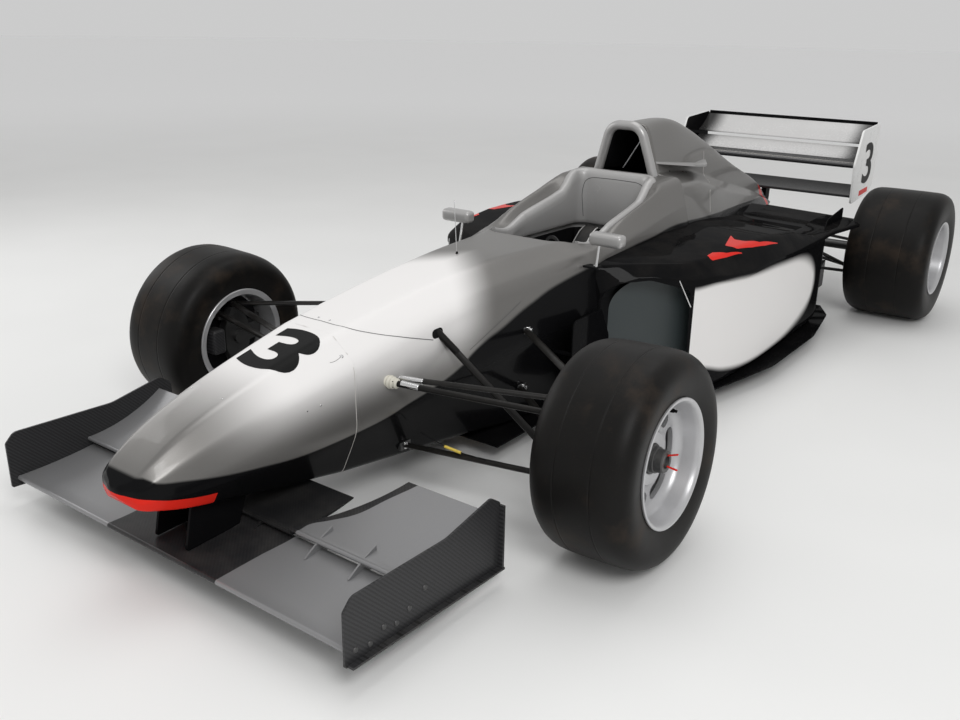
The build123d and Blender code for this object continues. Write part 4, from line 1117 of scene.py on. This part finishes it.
def ribbon(name, path, width, surface, skin):
    """Flat strip that follows a surface along a path of (x, station, z), from edge to edge a bmesh grid."""
    points = [spot(*p) for p in path]
    fine = []
    for a, b in zip(points, points[1:]):
        count = max(int((b - a).length / (RIBBON_STEP * MM)), 1)
        fine += [a.lerp(b, k / count) for k in range(count)]
    fine.append(points[-1])
    for turn in range(3):
        fine = [fine[0]] + [(fine[i - 1] + fine[i] * 2 + fine[i + 1]) / 4
                            for i in range(1, len(fine) - 1)] + [fine[-1]]
    rows = []
    for i, point in enumerate(fine):
        ahead = (fine[min(i + 1, len(fine) - 1)] - fine[max(i - 1, 0)]).normalized()
        near, normal = surface.find_nearest(point)[:2]
        across = ahead.cross(normal).normalized() * width / 2 * MM
        row = []
        for share in (-1, 0, 1):
            foot, up = surface.find_nearest(near + across * share)[:2]
            row.append(foot + up * RIBBON_LIFT * MM)
        rows.append(row)
    bm = grid_of(rows, closed=False)
    face = bm.faces[:][0]
    outward = surface.find_nearest(face.calc_center_median())[1]
    if face.normal.dot(outward) < 0:
        bmesh.ops.reverse_faces(bm, faces=bm.faces[:])
    return piece(name, bm, skin)


def laid_on(bm, surface, along, lift):
    """Drops every vertex of a flat shape along a direction onto a surface."""
    for vert in bm.verts:
        hit = surface.ray_cast(vert.co - along * 0.6, along)
        if hit[0] is None:
            hit = surface.find_nearest(vert.co)
        vert.co = hit[0] - along * lift * MM
    return bm


def gridded(bm, size, normals=((1, 0, 0), (0, 1, 0))):
    """Cuts a flat shape into small squares, so that it can follow a curved surface."""
    for normal in normals:
        along = Vector(normal)
        spread = [v.co.dot(along) for v in bm.verts]
        at = min(spread) + size
        while at < max(spread):
            bmesh.ops.bisect_plane(bm, geom=everything(bm), plane_co=along * at, plane_no=along)
            at += size
    return bm


def digit(text, width, height, weight):
    """Flat number in the x and y plane round the origin, in millimetres."""
    curve = bpy.data.curves.new("number", "FONT")
    curve.body = text
    curve.offset = weight
    curve.resolution_u = 8
    made = shown("number", curve)
    bpy.context.view_layer.update()
    mesh = bpy.data.meshes.new_from_object(made.evaluated_get(bpy.context.evaluated_depsgraph_get()))
    bm = bmesh.new()
    bm.from_mesh(mesh)
    bpy.data.meshes.remove(mesh)
    bpy.data.objects.remove(made)
    bmesh.ops.remove_doubles(bm, verts=bm.verts[:], dist=1e-6)
    low = Vector([min(v.co[k] for v in bm.verts) for k in range(3)])
    high = Vector([max(v.co[k] for v in bm.verts) for k in range(3)])
    bmesh.ops.translate(bm, verts=bm.verts[:], vec=-(low + high) / 2)
    bmesh.ops.scale(bm, verts=bm.verts[:], vec=(width * MM / (high.x - low.x), height * MM / (high.y - low.y), 1))
    return bm


ABOVE_THE_CAR = 900


def flat_shape(corners, radii):
    """One face from an outline in plan, high above the car."""
    outline = rounded([Vector(c) for c in corners], radii)
    bm = bmesh.new()
    bm.faces.new([bm.verts.new(spot(p.x, p.y, ABOVE_THE_CAR)) for p in outline])
    face_outwards(bm)
    return bm


def bar(start, end, radius, count=16, end_radius=None):
    """Round rod between two points in car millimetres."""
    a, b = spot(*start), spot(*end)
    matrix = rod_matrix((a + b) / 2, b - a)
    bm = bmesh.new()
    bmesh.ops.create_cone(bm, cap_ends=True, segments=count, radius1=radius * MM,
                          radius2=(end_radius or radius) * MM, depth=(b - a).length, matrix=matrix)
    return bm


def stud(surface, near, radius, end_radius, depth, lift):
    """Flat round head on a surface, in metres."""
    foot, up = surface.find_nearest(near)[:2]
    bm = bmesh.new()
    bmesh.ops.create_cone(bm, cap_ends=True, segments=18, radius1=radius, radius2=end_radius, depth=depth,
                          matrix=rod_matrix(foot + up * lift, up))
    return bm


def at(x, station, z):
    """The same point for small(), which counts from the middle of the car."""
    return (x, station + FRONT_AXLE_Y, z)


SIDES = (("left", 1), ("right", -1))


def on_side(path, sign):
    """Points of the left side, or mirrored for the right side."""
    return [(sign * x, *rest) for x, *rest in path]


# Wings
def make_front_wing():
    for name, skin, bevel in (("front_main_plane", WING_SILVER, 0.8), ("front_flaps", FLAP_PAINT, 0.6),
                              ("front_centre_flap", CARBON_FLAT, 0.6), ("front_endplates", CARBON_SIDE, 1.2)):
        clad(name, skin, 40, bevel, 2)
    for side, sign in SIDES:
        heads = []
        for station, z in ((-642, 142), (-698, 116), (-742, 100), (-785, 114), (-830, 95), (-876, 106)):
            heads.append(bar((sign * 673.5, station, z), (sign * 676.5, station, z), 8, 20, 6.5))
        fitting("endplate_bolts_" + side, joined(heads), DARK_METAL, 0.8, 2)


def make_rear_wing():
    clad("rear_main_plane", TAIL_WHITE, 40, 0.8, 2)
    clad("rear_flap", TAIL_WHITE, 40, 0.8, 2)
    lip = small("cube", (964, 5, 22), at(0, 3409, 879))
    fitting("rear_flap_lip", lip, GLOSS_BLACK, 1, 2)
    clad("rear_beam_wing", CARBON_FLAT, 40, 0.8, 2)
    plates = dressed("rear_endplates", [WHITE_PAINT, GLOSS_BLACK], 40)
    for face in plates.data.polygons:
        if face.normal.x * face.center.x < -0.1:
            face.material_index = 1
    finished(plates, 2.0, 3)
    clad("rear_wing_pillar", MATT_BLACK, 40, 1.5, 2)
    for side, sign in SIDES:
        number = digit("3", 150, 215, 0.018)
        number.transform(Matrix.Translation(spot(sign * 499.2, 3268, 690)) @ Matrix.Rotation(sign * pi / 2, 4, "Z")
                         @ Matrix.Rotation(pi / 2, 4, "X"))
        piece("plate_number_" + side, number, NUMBER_BLACK, smooth=False)
        patch = soft_prism([(3180, 522), (3330, 530), (3330, 556), (3180, 550)], [3] * 4,
                           *sorted((sign * 498.2, sign * 499.0)), "x")
        piece("plate_patch_" + side, patch, RED_PAINT)


# Running gear
def make_suspension():
    for name in ("front_upper_wishbones", "front_lower_wishbones", "rear_wishbones"):
        dressed(name, LEG_BLACK, 40)
    dressed("steering_rack", LEG_BLACK, 40)
    for side in ("left", "right"):
        clad("front_upright_" + side, DARK_METAL, 30, 1.2, 2)
    clad("rear_uprights", CAST, 30, 1.2, 2)
    for side, sign in SIDES:
        boot = turned([(0, 8), (0, 17), (5, 19), (9, 15), (14, 17.5), (18, 13.5), (23, 16), (27, 12), (34, 13.5),
                       (38, 9.5), (38, 8)], 28)
        boot.transform(Matrix.Translation(spot(184, -224, 412)) @ Matrix.Rotation(radians(4), 4, "Z")
                       @ Matrix.Scale(1.15, 4))
        if sign < 0:
            mirror(boot)
        piece("rack_boot_" + side, boot, CREAM)
        joints = []
        for x, station, z, out in ((186, -176, 404, 26), (240, 405, 420, 22), (146, -109, 161, 28),
                                   (212, 425, 205, 24)):
            joints.append(bar((sign * (x + 4), station, z - 10), (sign * (x + 4), station, z + 11), 11, 24))
            joints.append(bar((sign * x, station, z), (sign * (x + out), station + 4, z - 1), 8, 20))
        fitting("rod_ends_" + side, joined(joints), BRIGHT, 1.0, 2)
        clamps = [small("cube", (30, 46, 26), at(sign * (x - 4), station, z))
                  for x, station, z in ((186, -176, 404), (238, 405, 418), (146, -109, 161), (210, 425, 204))]
        fitting("leg_brackets_" + side, joined(clamps), DARK_METAL, 3, 3)


# Cockpit. The padded rim begins at this station on both sides
BOLSTER_START = 800


def make_bolster():
    """Liner with a soft raised rim round the sides and back of the opening."""
    outline = rounded([Vector(c) for c in MOUTH], MOUTH_RADII)
    count = len(outline)
    left = [k for k in range(count) if outline[k].x > 0]
    start = min(left, key=lambda k: abs(outline[k].y - BOLSTER_START))
    path = []
    for k in range(count):
        path.append(outline[(start + k) % count])
        if path[-1].x < 0 and path[-1].y < BOLSTER_START:
            break
    fine = []
    for a, b in zip(path, path[1:]):
        pieces = max(int((b - a).length / 24), 1)
        fine += [a.lerp(b, k / pieces) for k in range(pieces)]
    fine.append(path[-1])
    rows = []
    for i, p in enumerate(fine):
        ahead = (fine[min(i + 1, len(fine) - 1)] - fine[max(i - 1, 0)]).normalized()
        inward = Vector((-ahead.y, ahead.x))
        if inward.dot(Vector((0, 1100)) - p) < 0:
            inward = -inward
        top = top_height(p.y) - inward_fall(p.x, p.y)
        grow = min(max((p.y - 780) / 260, 0.12), 1)
        low = 562 + 6 * grow
        shape = [(-7, top - 6), (-4, top + 5 * grow), (4, top + 13 * grow), (14, top + 16 * grow),
                 (23, top + 13 * grow), (30, top + 4 * grow), (34, top - 8), (35, top - 30), (33, (top + low) / 2),
                 (31, low + 22), (28, low + 8), (22, low + 1), (12, low), (-7, low)]
        wide = 0.35 + 0.65 * grow
        rows.append([spot(p.x + inward.x * d * wide, p.y + inward.y * d * wide, z) for d, z in shape])
    return cap_ends(grid_of(rows))


def make_cockpit():
    # The liner's silver is painted lighter, as painted light on the cockpit's rim and rear wall.
    piece("cockpit_liner", make_bolster(), LINER, instead_of=["headrest"], crisp=60)
    clad("seat", MATT_BLACK, 30, 3, 2)
    clad("steering_wheel", MATT_BLACK, 35, 3, 3)
    dressed("roll_hoop", SILVER_PLAIN, 40)
    clad("winglets", SILVER_PLAIN, 30, 2.5, 3)
    for side, sign in SIDES:
        housing = small("cube", (130, 50, 46), at(sign * 327, 764, 672), (0.02, 0, 0))
        soften(housing, 15, 6)
        for vert in housing.verts:
            if vert.co.y > (782 + FRONT_AXLE_Y) * MM:
                vert.co.y = 0.6 * vert.co.y + 0.4 * (786 + FRONT_AXLE_Y) * MM
        piece("mirror_housing_" + side, housing, SILVER_PLAIN,
              instead_of=["mirrors"] if side == "left" else [])
        glass = soft_prism(on_side([(270, 656), (384, 656), (384, 690), (270, 690)], sign), [8] * 4, 787.0, 789.5,
                           "y")
        fitting("mirror_glass_" + side, glass, GLASS, 0.6, 2)
        stalk = bar((sign * 300, 743, 576), (sign * 300, 758, 652), 5.5, 20, 4.5)
        fitting("mirror_stalk_" + side, stalk, BRIGHT, 0.8, 2)
        foot = soft_prism(on_side([(215, 722), (310, 728), (310, 768), (215, 762)], sign), [6] * 4, 571, 578)
        fitting("mirror_foot_" + side, foot, MATT_BLACK, 1.5, 2)
        bolts = joined([bar((sign * x, station, 578), (sign * x, station, 581.5), 5, 16, 4)
                        for x, station in ((236, 742), (292, 748))])
        fitting("mirror_bolts_" + side, bolts, BRIGHT, 0.6, 2)


def make_cockpit_gear():
    """Belts with light borders, dash, gauge, latch, aerial and the rod in the intake."""
    for side, sign in SIDES:
        run = [(1392, 560), (1372, 556), (1340, 540), (1300, 505), (1262, 455), (1228, 400), (1200, 340)]
        for name, half, skin, lift in (("belt", 37, STRAP, 0), ("belt_border", 33, STITCH_WHITE, 1.2),
                                       ("belt_face", 28, STRAP, 2.0)):
            rows = [[spot(sign * (96 + across), station - lift, z + lift)
                     for across in (-half, -half / 2, 0, half / 2, half)] for station, z in run]
            belt = grid_of(rows, closed=False)
            made = piece(name + "_" + side, belt, skin)
            thick = made.modifiers.new("thickness", "SOLIDIFY")
            thick.thickness = 1.6 * MM
            thick.offset = 0
    dash = soft_prism([(-150, 560), (150, 560), (166, 612), (-166, 612)], [20] * 4, 690, 716, "y")
    fitting("dash_panel", dash, MATT_BLACK, 4, 3)
    ring = turned([(0, 26), (5, 28), (8, 33), (5, 37), (0, 38)], 48)
    ring.transform(Matrix.Translation(spot(60, 832, 600)) @ Matrix.Rotation(radians(78), 4, "Z"))
    piece("gauge_ring", ring, DARK_METAL)
    latch = soft_prism([(176, 990), (196, 990), (196, 1016), (176, 1016)], [4] * 4, 566, 580)
    fitting("belt_latch", latch, RED_PAINT, 2, 3)
    fitting("aerial", bar((-22, 365, 636), (-40, 372, 820), 1.6, 10, 1.0), BRIGHT, 0.3, 2)
    fitting("aerial_base", bar((-22, 365, 634), (-22, 366, 650), 7, 20, 3), MATT_BLACK, 1, 2)
    fitting("intake_rod", bar((-38, 1530, 800), (38, 1540, 930), 3, 12), STEEL, 0.5, 2)
    plugs = joined([bar((sign * 178, 1194, 612), (sign * 173, 1193, 612), 4, 16, 3) for sign in (1, -1)])
    fitting("liner_screws", plugs, BRIGHT, 0.5, 2)


def make_cables():
    """Steel sleeves, brake cables with a yellow sleeve, and a strut in each cooling inlet."""
    for side, sign in SIDES:
        fitting("leg_sleeve_" + side, bar((sign * 196, -174, 408), (sign * 264, -155, 407), 11, 24, 9), BRIGHT,
                1.5, 3)
        finished(piece("rack_sleeve_" + side, bar((sign * 234, -215, 413), (sign * 288, -202, 410), 10, 24, 8.5),
                       BRIGHT, "steering_rack"), 1.5, 3)
        run = joined([bar((sign * a[0],) + a[1:], (sign * b[0],) + b[1:], 1.6, 8) for a, b in
                      (((205, -98, 214), (292, -88, 188)), ((343, -80, 180), (430, -70, 178)))])
        piece("brake_cable_" + side, run, MATT_BLACK)
        fitting("cable_sleeve_" + side, bar((sign * 290, -88, 188), (sign * 345, -80, 180), 4.5, 16), YELLOW,
                0.8, 2)
        fitting("inlet_strut_" + side, bar((sign * 521, 957, 520), (sign * 556, 994, 421), 2.6, 14), BRIGHT,
                0.5, 2)


def make_tyre_patch():
    tyre = surface_of(bpy.data.objects["tyre_front_left"])
    patch = flat_shape([(40, 505), (74, 500), (74, 524), (40, 529)], [2] * 4)
    for vert in patch.verts:
        vert.co = spot(1100, vert.co.x / MM, vert.co.y / MM)
    piece("tyre_patch", laid_on(gridded(patch, 8 * MM, ((0, 1, 0), (0, 0, 1))), tyre, Vector((-1, 0, 0)), 0.6),
          ORANGE, "front_wheel_left")


def make_brakes():
    """Black drums inside the front wheels, and a cooling scoop behind each."""
    for side, sign in SIDES:
        drum = turned([(-58, 24), (-62, 30), (-62, 130), (-56, 139), (-44, 142), (12, 142), (16, 138), (16, 134),
                       (-42, 132), (-50, 126), (-50, 30)], 64)
        piece("brake_drum_" + side, on_axle(drum, "front", side), MATT_BLACK, "knuckle_" + side)
        scoop = small("cube", (60, 54, 90), (740, -96 + FRONT_AXLE_Y, 300))
        soften(scoop, 12, 4)
        if sign < 0:
            mirror(scoop)
        piece("brake_scoop_" + side, scoop, CARBON_SIDE, "knuckle_" + side)


# Underside, cooling and drive
def make_underside():
    for name, skin, bevel, segments in (
            ("floor", GLOSS_BLACK, 1.5, 2), ("plank", WOOD, 1.5, 2), ("diffuser", CARBON_FLAT, 0.8, 2),
            ("engine", CAST, 4, 3), ("gearbox", CAST, 2.5, 2), ("radiators", TEAL, 0.8, 2),
            ("bargeboards", GLOSS_BLACK, 1.2, 2), ("rain_light", LAMP, 1.5, 2)):
        clad(name, skin, 30, bevel, segments)


make_nose()
make_tub()
make_cover()
make_pods()
make_wheels()
make_front_wing()
make_rear_wing()
make_suspension()
make_cockpit()
make_cockpit_gear()
make_brakes()
make_cables()
make_tyre_patch()
make_underside()


# Paint marks that lie on the body
BODY_SEAMS = [
    ("hatch_seam", 2.4, SEAM_GREY,
     [(0, -292, 572), (37, -293, 570), (84, -293, 569), (108, -270, 560), (137, -229, 546), (166, -185, 533),
      (186, -130, 517), (200, -32, 488)]),
    ("nose_joint", 2.2, SEAM_LIGHT,
     [(0, -340, 564), (100, -340, 560), (157, -340, 510), (178, -346, 474), (185, -349, 422), (188, -353, 363),
      (188, -355, 300), (170, -352, 240), (120, -350, 146)]),
    ("side_seam", 1.8, SEAM_GREY, [(213, 121, 419), (206, 218, 452), (198, 328, 489), (192, 390, 511)]),
]


def make_marks():
    things = bpy.data.objects
    nose = surface_of(things["nose_shell"])
    number = digit("3", 168, 206, 0.035)
    gridded(number, 9 * MM)
    number.transform(Matrix.Translation(spot(24, -462, 900)))
    piece("nose_number", laid_on(number, nose, Vector((0, 0, -1)), 0.7), NUMBER_BLACK)
    for side, sign in SIDES:
        pod = surface_of(things["sidepod_shell_" + side])
        wedges = [([(539, 1138), (538, 1185), (575, 1228), (605, 1333), (585, 1212), (565, 1117)],
                   [6, 3, 20, 1, 20, 8]),
                  ([(540, 1296), (491, 1467), (528, 1416), (568, 1424), (601, 1487), (623, 1669), (616, 1517),
                    (604, 1409), (585, 1302)],
                   [8, 2, 10, 20, 20, 1, 30, 30, 12])]
        for k, (wedge, radii) in enumerate(wedges):
            shape = gridded(flat_shape(on_side(wedge, sign), radii), 7 * MM)
            piece("pod_wedge_%s_%d" % (side, k + 1), laid_on(shape, pod, Vector((0, 0, -1)), 0.9), RED_PAINT)
    body = surface_of(things["nose_shell"], things["tub_shell"])
    for side, sign in SIDES:
        for name, width, skin, path in BODY_SEAMS:
            ribbon(name + "_" + side, on_side(path, sign), width, body, skin)
        # Painted shade: a flat matt black patch on the body stands for the dark opening where each push rod goes
        # in.
        hole = flat_shape(on_side([(180, -34), (212, -34), (212, 12), (180, 12)], sign), [14] * 4)
        hole.transform(Matrix.Translation((0, 0, -0.4)))
        piece("pushrod_hole_shade_" + side, laid_on(gridded(hole, 5 * MM), body, Vector((-sign * 0.7, 0, -0.7)), 0.6),
              MATT_BLACK)
        latch = [(141, -400, 506), (146, -393, 504), (147, -360, 514), (143, -346, 519), (139, -362, 515)]
        ribbon("latch_recess_" + side, on_side(latch, sign), 1.2, body, SEAM_GREY)
        head = bar((sign * 191, -5, 508), (sign * 246, 26, 443), 11.5, 20, 11.5)
        fitting("pushrod_head_" + side, head, LEG_BLACK, 1, 2)
        screws = [stud(body, spot(sign * x, station, z), size * MM, size * 0.75 * MM, 0.0026, 0.0006)
                  for x, station, z, size in
                  ((145, -358, 514, 6), (166, -513, 409, 3), (171, -469, 412, 3), (22, -278, 573, 4),
                   (60, -700, 480, 3))]
        fitting("nose_screws_" + side, joined(screws), BRIGHT, 0.5, 2)
    liner = surface_of(things["cockpit_liner"])
    pad = [(-138, 1388, 600), (-146, 1380, 700), (-140, 1388, 752), (-110, 1391, 768), (0, 1392, 770),
           (110, 1391, 768), (140, 1388, 752), (146, 1380, 700), (138, 1388, 600)]
    ribbon("pad_seam", pad, 3.0, liner, SEAM_GREY)
    cover = surface_of(things["cover_shell"])
    for side, sign in SIDES:
        seam = [(60, 2120, 820), (90, 2085, 760), (140, 2032, 699), (198, 1911, 677), (224, 1864, 638),
                (245, 1828, 603)]
        ribbon("cover_seam_" + side, on_side(seam, sign), 4.0, cover, SEAM_LIGHT)
        # Painted shade: flat matt black discs on the cover stand for the dark insides of its small holes.
        holes = [stud(cover, spot(sign * x, station, z), 0.0042, 0.0042, 0.0016, 0.0003) for x, station, z in
                 ((124, 1639, 788), (126, 1771, 773), (127, 1800, 768))]
        piece("cover_hole_shades_" + side, joined(holes), MATT_BLACK)


make_marks()


# Floor, lamps and white surroundings, in metres
FLOOR_RADIUS, FLOOR_DROP = 55, 0.0015
FLOOR_FADE = (4.0, 14.0)
SKY_STRENGTH = 0.6


def make_stage():
    bm = bmesh.new()
    bmesh.ops.create_circle(bm, cap_ends=True, segments=96, radius=FLOOR_RADIUS)
    bmesh.ops.translate(bm, verts=bm.verts[:], vec=(0, 0, -FLOOR_DROP))
    floor = shown("studio_floor", mesh_of(bm, "studio_floor"))
    skin, sockets, place = material("studio_floor", 0.6)
    cloud = noise(place, 1.2, 2.0)
    near = blend(cloud, (0.80, 0.80, 0.79, 1), (0.86, 0.86, 0.85, 1))
    away = node("ShaderNodeVectorMath", {0: place}, operation="LENGTH").outputs["Value"]
    link(blend(soft_step(away, *FLOOR_FADE), near, (0.98, 0.98, 0.98, 1)), sockets["Base Color"])
    floor.data.materials.append(skin)
    world = bpy.data.worlds.new("studio")
    bpy.context.scene.world = world
    world.use_nodes = True
    filled(world.node_tree.nodes["Background"], {"Strength": SKY_STRENGTH, "Color": (1, 1, 1, 1)})


def lamp(name, location, target, width, height, power):
    data = bpy.data.lights.new(name, "AREA")
    data.shape = "RECTANGLE"
    data.size = width
    data.size_y = height
    data.energy = power
    made = shown(name, data)
    made.location = location
    made.rotation_mode = "QUATERNION"
    made.rotation_quaternion = (Vector(target) - Vector(location)).to_track_quat("-Z", "Y")


bpy.context.scene.view_settings.view_transform = "Standard"
make_stage()
# Lamps: name, place, aim, width, height, power in watts
for row in (("key", (3.6, -3.8, 4.2), (0, -0.3, 0.3), 2.0, 2.0, 118),
            ("top", (0, 0.2, 4.6), (0, 0.2, 0), 2.2, 5.0, 48),
            ("side", (-4.2, -1.5, 2.6), (0, 0, 0.4), 2.0, 2.0, 30)):
    lamp(*row)
